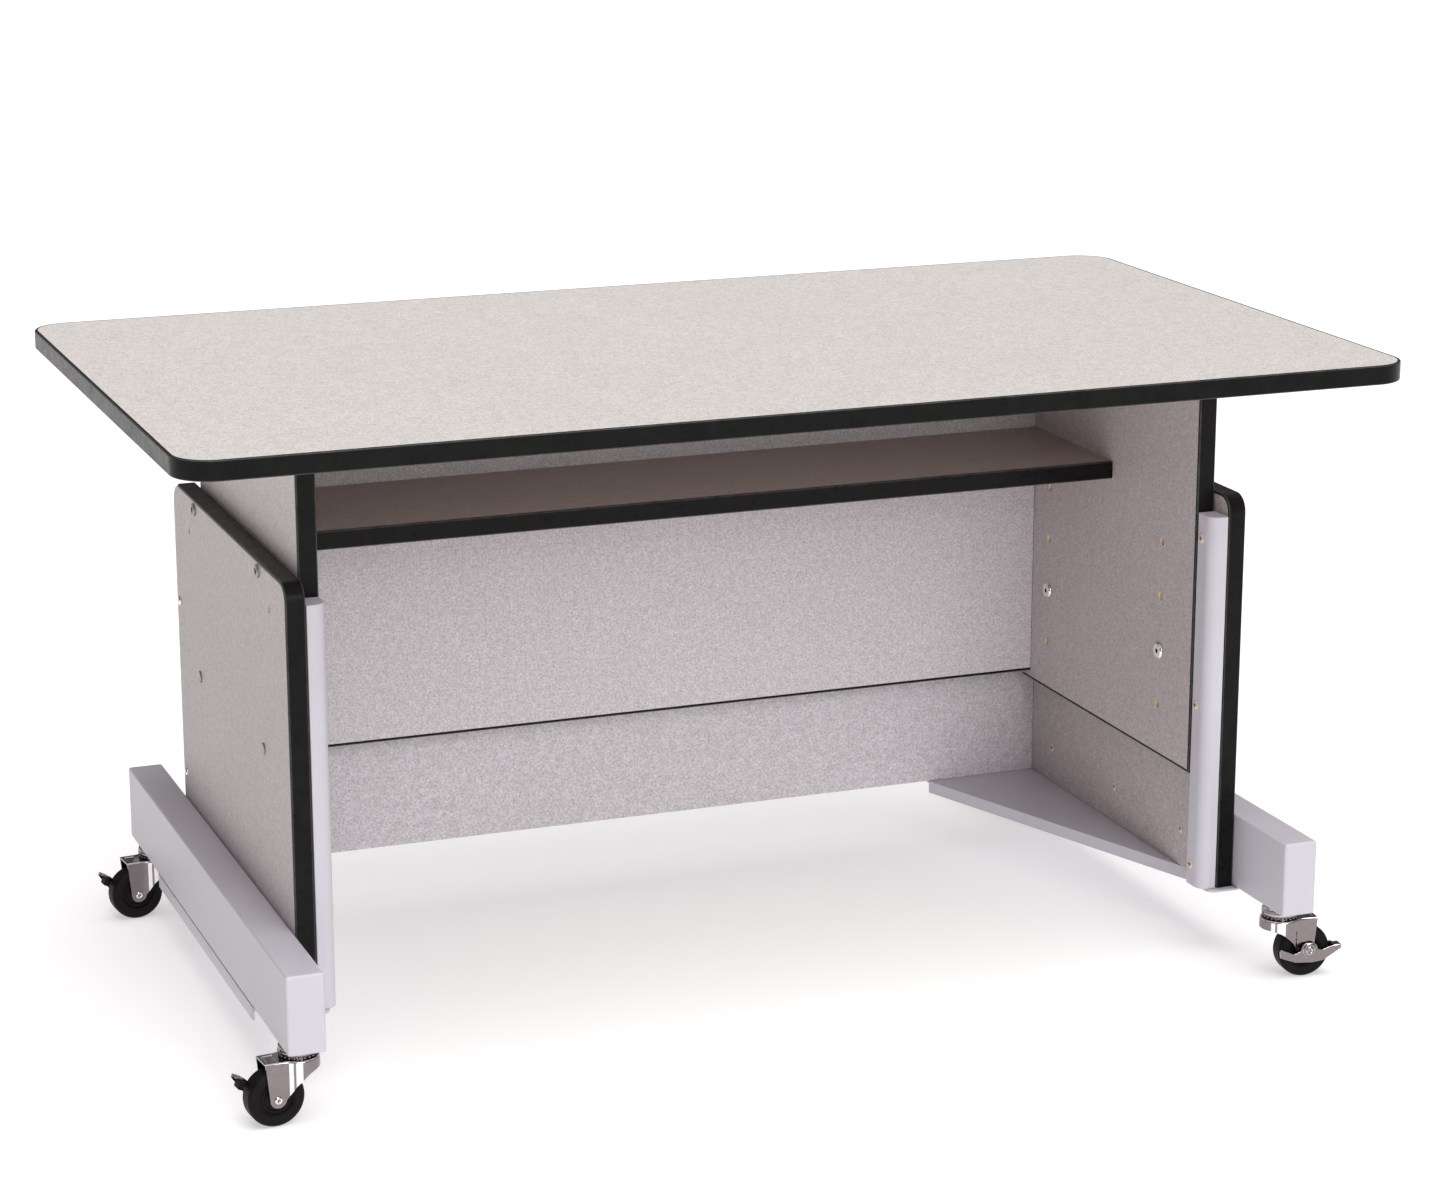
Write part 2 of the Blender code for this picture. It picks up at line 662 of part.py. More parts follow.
def stem_mesh():
    """Threaded stem, raceway cap and riveted kingpin, one turned piece."""
    cap_bottom = FORK_TOP + 3.5 * MM
    plate_bottom = FORK_TOP - FORK_SHEET
    top = LEG_BOTTOM - GAP
    profile = [
        (0.0, top + STEM_LENGTH),
        (STEM_RADIUS - MM, top + STEM_LENGTH),
        (STEM_RADIUS, top + STEM_LENGTH - MM),
        (STEM_RADIUS, top),
        (CAP_RADIUS - 5 * MM, top),
        (CAP_RADIUS - 1.5 * MM, top - 1.6 * MM),
        (CAP_RADIUS, top - 4 * MM),
        (CAP_RADIUS, cap_bottom),
        (CAP_RADIUS - 1.8 * MM, cap_bottom),
        (CAP_RADIUS - 1.8 * MM, cap_bottom + 4 * MM),
        (KINGPIN_RADIUS, cap_bottom + 4 * MM),
        (KINGPIN_RADIUS, plate_bottom - GAP),
        (KINGPIN_RADIUS + 3 * MM, plate_bottom - GAP),
        (KINGPIN_RADIUS + 2 * MM, plate_bottom - 2.4 * MM),
        (0.0, plate_bottom - 2.8 * MM),
    ]
    return baked_mesh(turned_piece("caster_stem", profile))


def fork_plan(inset, tail):
    """Plan of the fork, round at the stem and straight towards the tail, drawn in by inset."""
    radius = FORK_ROUND_RADIUS - inset
    width = FORK_HALF_WIDTH - inset
    meet = math.asin(width / radius)
    steps = 16
    start, sweep = meet + math.radians(6), 2 * (math.pi - meet - math.radians(6))
    arc = [(radius * math.cos(start + sweep * i / steps), radius * math.sin(start + sweep * i / steps))
           for i in range(steps + 1)]
    neck = radius * math.cos(meet) + 4 * MM
    return [(tail, width), (neck, width)] + arc + [(neck, -width), (tail, -width)]


def fork_side_view():
    """Silhouette (x, z) of the fork from the side: tail, eye round the axle, taper, front apron."""
    apron = FORK_TOP - FORK_APRON_DEPTH
    eye = [(TRAIL + FORK_EYE_RADIUS * math.cos(a), WHEEL_RADIUS + FORK_EYE_RADIUS * math.sin(a))
           for a in (math.radians(-5 - 17 * i) for i in range(11))]
    above = FORK_TOP + 8 * MM
    front = -FORK_ROUND_RADIUS - MM
    taper = [(14.8 * MM, 29.0 * MM), (12.4 * MM, 33.0 * MM), (8.0 * MM, 40.0 * MM), (1.3 * MM, 46.3 * MM),
             (-4.5 * MM, 51.0 * MM)]
    return [(FORK_TAIL + MM, above), (FORK_TAIL, FORK_TOP)] + eye + taper + [
        (-12.0 * MM, apron), (front, apron), (front, above)]


def fork_mesh(cutters):
    """The pressed swivel fork: a plate with a race ring, a front apron and two legs."""
    fork = flat_piece("caster_fork", [fork_plan(0.0, FORK_TAIL)], "z", 10 * MM, FORK_TOP)
    top_face = long_edge_test(fork_plan(0.0, FORK_TAIL), (FORK_TOP - 10 * MM) / 2)
    bevel_edges(fork, 1.6 * MM, 2, lambda a, b: top_face(a, b) and a.z > 0 and a.x + b.x < 1.9 * FORK_TAIL)
    ring = round_piece("fork_race", 15.5 * MM, FORK_TOP - MM, FORK_TOP + 6.5 * MM)
    inside = flat_piece("fork_inside", [fork_plan(FORK_SHEET, FORK_TAIL + 5 * MM)], "z", 5 * MM,
                        FORK_TOP - FORK_SHEET)
    side = flat_piece("fork_side", [fork_side_view()], "y", -30 * MM, 30 * MM)
    kingpin = round_piece("fork_kingpin_hole", KINGPIN_RADIUS + RUNNING_GAP, 50 * MM, FORK_TOP + 8 * MM)
    axle = round_piece("fork_axle_hole", AXLE_RADIUS + RUNNING_GAP, -20 * MM, 20 * MM, "y",
                       (TRAIL, WHEEL_RADIUS), 16)
    pin = round_piece("fork_pin_hole", BRAKE_PIN_RADIUS + RUNNING_GAP, -20 * MM, 0.0, "y",
                      (TRAIL, WHEEL_RADIUS + BRAKE_PIN_ABOVE_AXLE), 12)
    boolean(fork, ring, "UNION", cutters)
    boolean(fork, inside, "DIFFERENCE", cutters)
    boolean(fork, side, "INTERSECT", cutters)
    for hole in (kingpin, axle, pin):
        boolean(fork, hole, "DIFFERENCE", cutters)
    return baked_mesh(fork)


def axle_mesh():
    """Axle rivet about Z with a head at each end; its middle is z = 0."""
    grip = FORK_HALF_WIDTH + GAP
    head = grip + 1.4 * MM
    profile = [
        (0.0, head),
        (2.6 * MM, head),
        (3.85 * MM, grip + 0.5 * MM),
        (3.85 * MM, grip),
        (AXLE_RADIUS, grip),
        (AXLE_RADIUS, -grip),
        (3.85 * MM, -grip),
        (3.85 * MM, -grip - 0.5 * MM),
        (2.6 * MM, -head),
        (0.0, -head),
    ]
    return baked_mesh(turned_piece("caster_axle", profile, steps=16))


def tyre_mesh():
    """Solid rubber tyre about Z with rounded shoulders and a stepped side."""
    half = WHEEL_WIDTH / 2
    bore = 14.6 * MM
    shoulder = 3.2 * MM
    profile = [
        (bore, half - 2.4 * MM),
        (16.2 * MM, half - 1.6 * MM),
        (17.4 * MM, half - 0.2 * MM),
        (WHEEL_RADIUS - shoulder - MM, half),
        (WHEEL_RADIUS - 1.0 * MM, half - shoulder + 1.0 * MM),
        (WHEEL_RADIUS, half - shoulder - 2.0 * MM),
    ]
    mirrored = [(radius, -z) for radius, z in reversed(profile)]
    return baked_mesh(turned_piece("caster_tyre", profile + mirrored, closed=True, steps=32))


def hub_mesh():
    """Moulded hub about Z, bored for the axle, with a boss and a recessed web."""
    half = WHEEL_WIDTH / 2
    rim = 14.6 * MM - GAP
    bore = AXLE_RADIUS + RUNNING_GAP
    profile = [
        (bore, half - 0.2 * MM),
        (6.2 * MM, half - 0.2 * MM),
        (6.8 * MM, half - 3.2 * MM),
        (11.6 * MM, half - 3.6 * MM),
        (12.4 * MM, half - 2.4 * MM),
        (rim, half - 2.6 * MM),
    ]
    mirrored = [(radius, -z) for radius, z in reversed(profile)]
    return baked_mesh(turned_piece("caster_hub", profile + mirrored, closed=True))


def lever_outline():
    """Side view (x, z) of the pressed brake lever about its pin."""
    corners = [
        (-29.6, -8.7, 2.0),
        (-12.3, -15.1, 6.0),
        (5.1, -16.4, 10.0),
        (17.5, -15.0, 8.0),
        (30.0, -7.8, 3.0),
        (37.0, -3.4, 1.2),
        (37.0, 0.5, 1.0),
        (24.5, -0.9, 2.0),
        (17.0, -3.6, 2.0),
        (11.4, -2.6, 1.5),
        (9.2, 4.4, 6.0),
        (-4.6, 4.8, 6.0),
        (-7.5, -3.7, 2.0),
        (-14.2, -6.3, 3.0),
        (-30.5, 0.8, 2.0),
    ]
    return rounded_outline([(u * MM, v * MM, r * MM) for u, v, r in corners], 3)


def lever_mesh(cutters):
    """Brake lever about its pin: side plate, domed boss, pin, foot tab and the shoe under it."""
    face, back = -BRAKE_FACE, -BRAKE_FACE - BRAKE_SHEET
    lever = flat_piece("brake_lever", [lever_outline()], "y", back, face)
    centre = (2.5 * MM, -3.2 * MM)
    boss = round_piece("lever_boss", 7.6 * MM, back - 1.2 * MM, face - 0.4 * MM, "y", centre)
    dome = round_piece("lever_dome", 4.4 * MM, back - 2.2 * MM, face - 0.4 * MM, "y", centre, 16)
    pin_end = -FORK_HALF_WIDTH + 1.2 * MM
    pin = round_piece("lever_pin", BRAKE_PIN_RADIUS, face - 0.5 * MM, pin_end, "y", steps=12)
    tab_start = SHOE_START + 0.6 * MM
    tab_end = 37.2 * MM
    tab = box_piece("lever_tab", (tab_start, face - 0.6 * MM, -1.2 * MM), (tab_end, -6.0 * MM, 0.3 * MM))
    shoe_end = SHOE_START + 5.7 * MM
    shoe = box_piece("lever_shoe", (SHOE_START, -12.0 * MM, -9.0 * MM), (shoe_end, 0.0, -0.9 * MM))
    for piece in (boss, dome, pin, tab, shoe):
        boolean(lever, piece, "UNION", cutters)
    return baked_mesh(lever)


def make_casters(parts, cutters, mats):
    stem, fork, axle, tyre, hub = stem_mesh(), fork_mesh(cutters), axle_mesh(), tyre_mesh(), hub_mesh()
    lever = lever_mesh(cutters)
    across = (math.pi / 2, 0.0, 0.0)
    for corner, sign_x, sign_y in CORNERS:
        location = (sign_x * STEM_X, sign_y * STEM_Y, 0.0)
        fixed = bpy.data.objects.new(f"caster_stem_{corner}", stem)
        fixed.location = location
        place(fixed, parts, mats["chrome"], smooth=True)
        turn = -SWIVEL_REST if sign_x > 0 else math.pi + SWIVEL_REST
        swivel = joint_empty(f"swivel_axis_{corner}", parts, location, turn=turn)
        spin = joint_empty(f"wheel_axis_{corner}", parts, (TRAIL, 0.0, WHEEL_RADIUS), swivel)
        pin_place = (TRAIL, 0.0, WHEEL_RADIUS + BRAKE_PIN_ABOVE_AXLE)
        rock = joint_empty(f"brake_axis_{corner}", parts, pin_place, swivel)
        rock.rotation_euler.y = -BRAKE_TRAVEL if sign_x < 0 else 0.0
        place(bpy.data.objects.new(f"caster_fork_{corner}", fork), parts, mats["chrome"], swivel, smooth=True)
        rivet = bpy.data.objects.new(f"caster_axle_{corner}", axle)
        rivet.location = (TRAIL, 0.0, WHEEL_RADIUS)
        rivet.rotation_euler = across
        place(rivet, parts, mats["chrome"], swivel, smooth=True)
        for name, mesh, mat in (("tyre", tyre, "rubber"), ("hub", hub, "hub_plastic")):
            piece = bpy.data.objects.new(f"caster_{name}_{corner}", mesh)
            piece.rotation_euler = across
            place(piece, parts, mats[mat], spin, smooth=True)
        place(bpy.data.objects.new(f"brake_lever_{corner}", lever), parts, mats["chrome"], rock, smooth=True)


def main():
    clear_scene()
    parts = new_collection("teacher_desk")
    cutters = new_collection("cutters")
    mats = make_materials()
    slide = joint_empty("height_slide_axis", parts, (0.0, 0.0, 0.0))
    make_tabletop(parts, mats, slide)
    make_upper_back(parts, mats, slide)
    make_shelf(parts, mats, slide)
    make_lower_back(parts, mats)
    for side, sign in SIDES:
        make_inner_side(side, sign, parts, cutters, mats, slide)
        make_outer_side(side, sign, parts, cutters, mats)
        make_post(side, sign, parts, cutters, mats)
        make_leg(side, sign, parts, cutters, mats)
        make_corner_plate(side, sign, parts, mats)
    make_bolts(parts, cutters, mats, slide)
    make_casters(parts, cutters, mats)


main()
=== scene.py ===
"""Looks of the height-adjustable teacher desk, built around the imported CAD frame.

Metres, +Z up, +X to the right, +Y towards the back. Every board, band, steel piece, bolt and caster
piece of the frame is replaced by a finer one in the same place. Small screws, bearing balls and brake
shoes are added.
"""

import json
import math

import bmesh
import bpy
from mathutils import Matrix, Vector


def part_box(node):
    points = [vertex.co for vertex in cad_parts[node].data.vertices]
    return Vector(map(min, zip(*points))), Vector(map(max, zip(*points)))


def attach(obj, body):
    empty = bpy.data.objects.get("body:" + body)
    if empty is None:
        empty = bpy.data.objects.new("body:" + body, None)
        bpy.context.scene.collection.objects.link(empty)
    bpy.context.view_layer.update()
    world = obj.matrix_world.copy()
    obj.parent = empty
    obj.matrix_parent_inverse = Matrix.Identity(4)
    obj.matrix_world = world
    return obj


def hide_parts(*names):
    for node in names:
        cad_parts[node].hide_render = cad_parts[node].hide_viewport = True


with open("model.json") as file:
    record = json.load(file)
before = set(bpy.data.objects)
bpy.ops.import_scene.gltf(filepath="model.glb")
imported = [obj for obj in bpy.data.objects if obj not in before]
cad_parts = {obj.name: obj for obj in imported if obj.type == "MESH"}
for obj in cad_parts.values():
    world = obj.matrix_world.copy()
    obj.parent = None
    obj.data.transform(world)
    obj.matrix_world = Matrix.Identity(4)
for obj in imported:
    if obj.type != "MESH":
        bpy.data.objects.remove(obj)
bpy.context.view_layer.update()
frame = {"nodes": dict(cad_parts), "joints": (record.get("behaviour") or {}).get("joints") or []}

MM = 0.001

# Boards and bands
LAMINATE_EASE = 0.25 * MM
BAND_THICKNESS = 3.0 * MM
BAND_SHOULDER = 2.1 * MM
TOP_CORNER = 38.0 * MM
OUTER_FRONT_CORNER = 18.0 * MM
OUTER_REAR_CORNER = 20.0 * MM
HOLE_PITCH = 57.8 * MM
HOLE_RADIUS = 4.5 * MM
BOLT_SHANK = 3.9 * MM
BOLT_LENGTH = 18.0 * MM
SPARE_HOLES = ((-168.0 * MM, 451.0 * MM), (157.0 * MM, 451.0 * MM))
SPARE_HOLE_DEPTH = 12.0 * MM
RIM_DEPTH = 8.0 * MM          # side faces this close to a board's outline are its taped edges
BOARD_GAP = 0.1 * MM          # between a board and its band

# Steel and small screws
POST_CORNER = 12.0 * MM
POST_SCREWS_Z = (443.0 * MM, 269.0 * MM, 99.0 * MM)
PLATE_SCREW_STEP = 140.0 * MM
REAR_SCREWS_Z = (364.0 * MM, 180.0 * MM)
FOOT_SCREWS_Y = (152.0 * MM, 0.0, -152.0 * MM)
FOOT_SCREW_Z = 116.0 * MM
SCREW_HEADS = {               # radius, height
    "post": (5.0 * MM, 1.5 * MM),
    "plate": (4.4 * MM, 1.8 * MM),
    "rear": (4.6 * MM, 2.2 * MM),
    "foot": (4.8 * MM, 0.8 * MM),
}
TUBE_ROUNDING = 2.6 * MM
SHEET = 2.0 * MM
FOLD_RADIUS = 2.6 * MM
RIM_RADIUS = 0.4 * MM

# Casters; local x runs from the stem towards the axle, the brake is on the local -y side
WHEEL_RADIUS = 27.5 * MM
WHEEL_HALF = 10.5 * MM
TRAIL = 24.5 * MM
FORK_TOP = 64.0 * MM
FORK_SHEET = 2.0 * MM
FORK_HALF = 13.4 * MM
FORK_TAIL = 36.0 * MM
FORK_ROUND = 20.5 * MM
EYE_RADIUS = 7.8 * MM
CAP_RADIUS = 18.7 * MM
CAP_BOTTOM = 67.5 * MM
APRON_DEPTH = 10.5 * MM
RACE_OUTER = 15.5 * MM
RACE_INNER = 11.1 * MM
BALL_COUNT = 22
BRAKE_PIN = 6.0 * MM          # above the axle
BRAKE_FACE = 15.6 * MM
BRAKE_TRAVEL = math.radians(25)
SHOE_START = WHEEL_RADIUS + 0.35 * MM
# Bands of painted highlight, bright steel standing in for reflection stripes on the fork's neck.
NECK_HIGHLIGHT_BANDS = {                # left and right, in degrees from the tail
    -1: ((46, 58), (65, 83)),
    1: ((96, 119), (126, 137)),
}

# Studio
FLOOR_COLOUR = (0.66, 0.657, 0.654)
FLOOR_GLOW = 0.46
FLOOR_REACH = 25.0
FLOOR_SHINE = (1.0, 0.998, 0.996, 1.0)
SKY_LIGHT = (0.165, 0.152, 0.155)
SUNS = (                      # name, comes from, strength, spread in degrees, colour
    ("overhead", (0.05, -0.22, 1.0), 2.7, 52, (1.0, 0.99, 0.98)),
    ("front", (0.02, -1.0, 0.42), 1.33, 36, (0.98, 0.98, 1.0)),
)
CAMERA_PLACE = (-1.2573, -3.3258, 1.3223)
CAMERA_PITCH = 0.2604         # radians below the horizon
CAMERA_YAW = -0.3683
CAMERA_LENS = 90.23
CAMERA_SENSOR = 36.0
CAMERA_SHIFT = (-0.0037, -0.0015)

SIDES = (("left", -1), ("right", 1))
CORNERS = (("front_left", -1), ("front_right", 1), ("rear_left", -1), ("rear_right", 1))


# ---------------------------------------------------------------- shader helpers

def node(tree, kind, inputs=None, **props):
    """A shader node; an input is a number, a colour or another node's output."""
    item = tree.nodes.new("ShaderNode" + kind)
    for key, value in props.items():
        setattr(item, key, value)
    for key, value in (inputs or {}).items():
        if isinstance(value, bpy.types.NodeSocket):
            tree.links.new(value, item.inputs[key])
        else:
            item.inputs[key].default_value = value
    return item


def principled(name, colour, roughness, **constants):
    """A material whose Principled shader has these constants; underscores stand for spaces."""
    mat = bpy.data.materials.new(name)
    mat.use_nodes = True
    shader = mat.node_tree.nodes["Principled BSDF"]
    shader.inputs["Base Color"].default_value = (*colour, 1.0)
    shader.inputs["Roughness"].default_value = roughness
    for key, value in constants.items():
        shader.inputs[key.replace("_", " ")].default_value = value
    mat.diffuse_color = (*colour, 1.0)
    return mat, mat.node_tree, shader


def place_vector(tree):
    """Object coordinates in metres."""
    return node(tree, "TexCoord").outputs["Object"]


def noise(tree, where, scale, detail=2.0, rough=0.5):
    """The value of a noise texture."""
    inputs = {"Vector": where, "Scale": scale, "Detail": detail, "Roughness": rough}
    return node(tree, "TexNoise", inputs).outputs["Fac"]


def ramp(tree, fac, stops):
    """A colour ramp of (position, colour) stops."""
    item = node(tree, "ValToRGB", {"Fac": fac})
    elements = item.color_ramp.elements
    while len(elements) < len(stops):
        elements.new(0.5)
    for element, (position, colour) in zip(elements, stops):
        element.position = position
        element.color = (*colour, 1.0)
    return item.outputs["Color"]


def mix(tree, fac, first, second, blend="MIX"):
    """Two colours mixed; each input is a constant or another node's output."""
    item = tree.nodes.new("ShaderNodeMix")
    item.data_type = "RGBA"
    item.blend_type = blend
    for index, value in ((0, fac), (6, first), (7, second)):
        if isinstance(value, bpy.types.NodeSocket):
            tree.links.new(value, item.inputs[index])
        elif index == 0:
            item.inputs[index].default_value = value
        else:
            item.inputs[index].default_value = (*value, 1.0)
    return item.outputs[2]


def spread(tree, value, low, high, to_low, to_high):
    """A value's range from low to high, mapped to another range."""
    inputs = {"Value": value, "From Min": low, "From Max": high, "To Min": to_low, "To Max": to_high}
    return node(tree, "MapRange", inputs).outputs["Result"]


def bump(tree, height, distance, strength):
    inputs = {"Height": height, "Distance": distance, "Strength": strength}
    return node(tree, "Bump", inputs).outputs["Normal"]


def wire(tree, shader, **outputs):
    """Link node outputs to the shader's sockets; underscores stand for spaces."""
    for key, output in outputs.items():
        tree.links.new(output, shader.inputs[key.replace("_", " ")])


def shade(colour, factor):
    return tuple(channel * factor for channel in colour)


# ---------------------------------------------------------------- materials

def laminate_material(name, colour, contrast):
    """Grey laminate: a clouded, freckled print under a satin, slightly pebbled surface."""
    mat, tree, shader = principled(name, colour, 0.45, IOR=1.48)
    where = place_vector(tree)
    grain = noise(tree, where, 420.0, 3.0, 0.7)
    patches = noise(tree, where, 130.0, 3.0, 0.6)
    cloud = noise(tree, where, 18.0, 2.0, 0.5)
    fleck = noise(tree, where, 620.0, 1.0, 0.4)
    printed = ramp(tree, grain, (
        (0.30, shade(colour, 1 - 2.4 * contrast)),
        (0.44, shade(colour, 1 - 0.6 * contrast)),
        (0.56, shade(colour, 1 + 0.6 * contrast)),
        (0.70, shade(colour, 1 + 1.9 * contrast)),
    ))
    dark = spread(tree, fleck, 0.64, 0.70, 0.0, 0.65)
    printed = mix(tree, dark, printed, shade(colour, 0.52))
    light = spread(tree, fleck, 0.36, 0.30, 0.0, 0.55)
    printed = mix(tree, light, printed, shade(colour, 1.28))
    drift = ramp(tree, patches, ((0.32, shade((1.0, 1.0, 1.0), 1 - contrast)), (0.66, (1.0, 1.0, 1.0))))
    printed = mix(tree, 1.0, printed, drift, "MULTIPLY")
    tone = ramp(tree, cloud, ((0.3, (0.975, 0.975, 0.975)), (0.7, (1.0, 1.0, 1.0))))
    pebble = noise(tree, where, 1300.0, 2.0, 0.5)
    wire(tree, shader, Base_Color=mix(tree, 1.0, printed, tone, "MULTIPLY"),
         Roughness=spread(tree, grain, 0.3, 0.7, 0.40, 0.52), Normal=bump(tree, pebble, 0.03 * MM, 0.35))
    return mat


def raw_board_material():
    """Sawn particle board: tan chips of mixed tone, rough."""
    # This tan is much paler than the board's own: painted light that lifts the shaded walls of the
    # drilled holes.
    colour = (0.97, 0.79, 0.56)
    mat, tree, shader = principled("raw_board_painted_light", colour, 0.9)
    where = place_vector(tree)
    chips = node(tree, "TexVoronoi", {"Vector": where, "Scale": 420.0}).outputs["Color"]
    fibre = noise(tree, where, 900.0, 3.0, 0.6)
    toned = mix(tree, 0.25, colour, chips, "SOFT_LIGHT")
    ground = ramp(tree, fibre, ((0.3, (0.86, 0.83, 0.78)), (0.65, (1.0, 1.0, 1.0))))
    wire(tree, shader, Base_Color=mix(tree, 1.0, toned, ground, "MULTIPLY"),
         Normal=bump(tree, fibre, 0.15 * MM, 0.7))
    return mat


def band_material(name, colour):
    """Black extruded edge band, semi-gloss, with a faint leather grain and scuffs."""
    mat, tree, shader = principled(name, colour, 0.30, IOR=1.42, Specular_IOR_Level=0.15)
    where = place_vector(tree)
    scuff = noise(tree, where, 60.0, 4.0, 0.65)
    tint = ramp(tree, scuff, ((0.35, shade(colour, 0.8)), (0.7, shade(colour, 1.5))))
    cells = node(tree, "TexVoronoi", {"Vector": where, "Scale": 1500.0}).outputs["Distance"]
    wire(tree, shader, Base_Color=tint, Roughness=spread(tree, scuff, 0.3, 0.7, 0.25, 0.36),
         Normal=bump(tree, cells, 0.03 * MM, 0.45))
    return mat


def powder_material():
    """Light lavender-grey powder coat with orange peel."""
    colour = (0.560, 0.540, 0.592)
    mat, tree, shader = principled("powder_coat", colour, 0.36, IOR=1.5)
    where = place_vector(tree)
    tone = noise(tree, where, 14.0, 3.0, 0.5)
    fine = noise(tree, where, 1500.0, 1.0, 0.5)
    tint = ramp(tree, tone, ((0.3, shade(colour, 0.975)), (0.7, shade(colour, 1.02))))
    grit = ramp(tree, fine, ((0.35, (0.97, 0.97, 0.97)), (0.65, (1.0, 1.0, 1.0))))
    peel = noise(tree, where, 420.0, 2.0, 0.45)
    wire(tree, shader, Base_Color=mix(tree, 1.0, tint, grit, "MULTIPLY"),
         Roughness=spread(tree, tone, 0.3, 0.7, 0.33, 0.42), Normal=bump(tree, peel, 0.05 * MM, 0.35))
    return mat


def metal_material(name, colour, rough_low, rough_high):
    """Plated or plain metal with smudges and a faint waviness."""
    mat, tree, shader = principled(name, colour, rough_low, Metallic=1.0)
    where = place_vector(tree)
    smudge = noise(tree, where, 160.0, 4.0, 0.6)
    tint = ramp(tree, smudge, ((0.3, shade(colour, 0.9)), (0.7, colour)))
    wave = noise(tree, where, 260.0, 2.0, 0.5)
    wire(tree, shader, Base_Color=tint, Roughness=spread(tree, smudge, 0.3, 0.7, rough_low, rough_high),
         Normal=bump(tree, wave, 0.04 * MM, 0.25))
    return mat


def polymer_material(name, colour, rough_low, rough_high, grain_scale, grain_depth):
    """Rubber or moulded plastic with a fine grain and dusty patches."""
    mat, tree, shader = principled(name, colour, rough_low, IOR=1.4, Specular_IOR_Level=0.15)
    where = place_vector(tree)
    dust = noise(tree, where, 110.0, 4.0, 0.6)
    tint = ramp(tree, dust, ((0.35, shade(colour, 0.85)), (0.75, shade(colour, 1.5))))
    grain = noise(tree, where, grain_scale, 2.0, 0.5)
    wire(tree, shader, Base_Color=tint, Roughness=spread(tree, dust, 0.3, 0.7, rough_low, rough_high),
         Normal=bump(tree, grain, grain_depth, 0.5))
    return mat


def make_materials():
    return {
        # The top, side panel, back and shelf laminates are one grey print in lighter and darker copies:
        # painted light on the top, painted shade on the side panels and, deeper and browner, on the
        # shelf; the back tone lies between them.
        "top": laminate_material("top_laminate", (0.735, 0.700, 0.672), 0.10),
        "panel": laminate_material("panel_laminate", (0.520, 0.462, 0.470), 0.14),
        "back": laminate_material("back_laminate", (0.610, 0.572, 0.592), 0.15),
        "shelf": laminate_material("shelf_laminate_painted_shade", (0.325, 0.250, 0.225), 0.14),
        "raw": raw_board_material(),
        "tape": laminate_material("edge_tape", (0.480, 0.430, 0.438), 0.05),
        "band": band_material("edge_band", (0.0055, 0.0053, 0.0050)),
        # A lighter black for the bands' rounded shoulders: a painted highlight.
        "band_painted_highlight": band_material("edge_band_painted_highlight", (0.045, 0.043, 0.042)),
        "powder": powder_material(),
        "chrome": metal_material("chrome", (0.250, 0.218, 0.224), 0.07, 0.15),
        "bolt": metal_material("bolt_steel", (0.66, 0.64, 0.65), 0.36, 0.48),
        "zinc": laminate_material("zinc_plating", (0.76, 0.74, 0.75), 0.04),
        # Bright steel: the rear screws' own finish, and a painted highlight on chrome roundings, neck
        # bands, rivet rings, lever edges and bolt rims.
        "bright": metal_material("bright_steel_and_painted_highlight", (0.86, 0.85, 0.86), 0.10, 0.20),
        "dull": metal_material("dull_steel", (0.36, 0.335, 0.335), 0.38, 0.50),
        "dark": metal_material("socket_shade", (0.05, 0.045, 0.045), 0.5, 0.6),
        "rubber": polymer_material("rubber", (0.0070, 0.0052, 0.0054), 0.42, 0.56, 700.0, 0.05 * MM),
        "hub": polymer_material("hub_plastic", (0.0075, 0.0060, 0.0064), 0.26, 0.38, 500.0, 0.03 * MM),
        "beige": polymer_material("screw_cap", (0.60, 0.52, 0.44), 0.4, 0.5, 500.0, 0.03 * MM),
    }


# ---------------------------------------------------------------- outlines

def rounded_outline(corners, steps=10):
    """Points of a closed outline whose corners are (u, v, radius)."""
    points = []
    count = len(corners)
    for index, (u, v, radius) in enumerate(corners):
        here = Vector((u, v))
        if radius <= 0:
            points.append((u, v))
            continue
        before = (Vector(corners[index - 1][:2]) - here).normalized()
        after = (Vector(corners[(index + 1) % count][:2]) - here).normalized()
        half = before.angle(after) / 2
        centre = here + (before + after).normalized() * (radius / math.sin(half))
        start = here + before * (radius / math.tan(half)) - centre
        sweep = start.angle_signed(here + after * (radius / math.tan(half)) - centre)
        for step in range(steps + 1):
            turn = -sweep * step / steps
            cosine, sine = math.cos(turn), math.sin(turn)
            points.append((centre.x + start.x * cosine - start.y * sine,
                           centre.y + start.x * sine + start.y * cosine))
    return points


def rectangle(low_u, low_v, high_u, high_v):
    return [(low_u, low_v), (high_u, low_v), (high_u, high_v), (low_u, high_v)]


def circle(radius, centre=(0.0, 0.0), steps=40):
    turns = [2 * math.pi * step / steps for step in range(steps)]
    return [(centre[0] + radius * math.cos(a), centre[1] + radius * math.sin(a)) for a in turns]


# ---------------------------------------------------------------- mesh helpers

FACING = {
    "x": Matrix(((0, 0, 1, 0), (1, 0, 0, 0), (0, 1, 0, 0), (0, 0, 0, 1))),
    "y": Matrix(((1, 0, 0, 0), (0, 0, 1, 0), (0, 1, 0, 0), (0, 0, 0, 1))),
    "z": Matrix.Identity(4),
}
AXIS = {"x": 0, "y": 1, "z": 2}


def recalculate(mesh):
    """Weld the mesh, merge its flat faces and turn its normals outwards."""
    bm = bmesh.new()
    bm.from_mesh(mesh)
    bmesh.ops.remove_doubles(bm, verts=bm.verts, dist=0.005 * MM)
    bmesh.ops.dissolve_limit(bm, angle_limit=math.radians(0.3), verts=bm.verts, edges=bm.edges)
    bmesh.ops.recalc_face_normals(bm, faces=bm.faces)
    bm.to_mesh(mesh)
    bm.free()


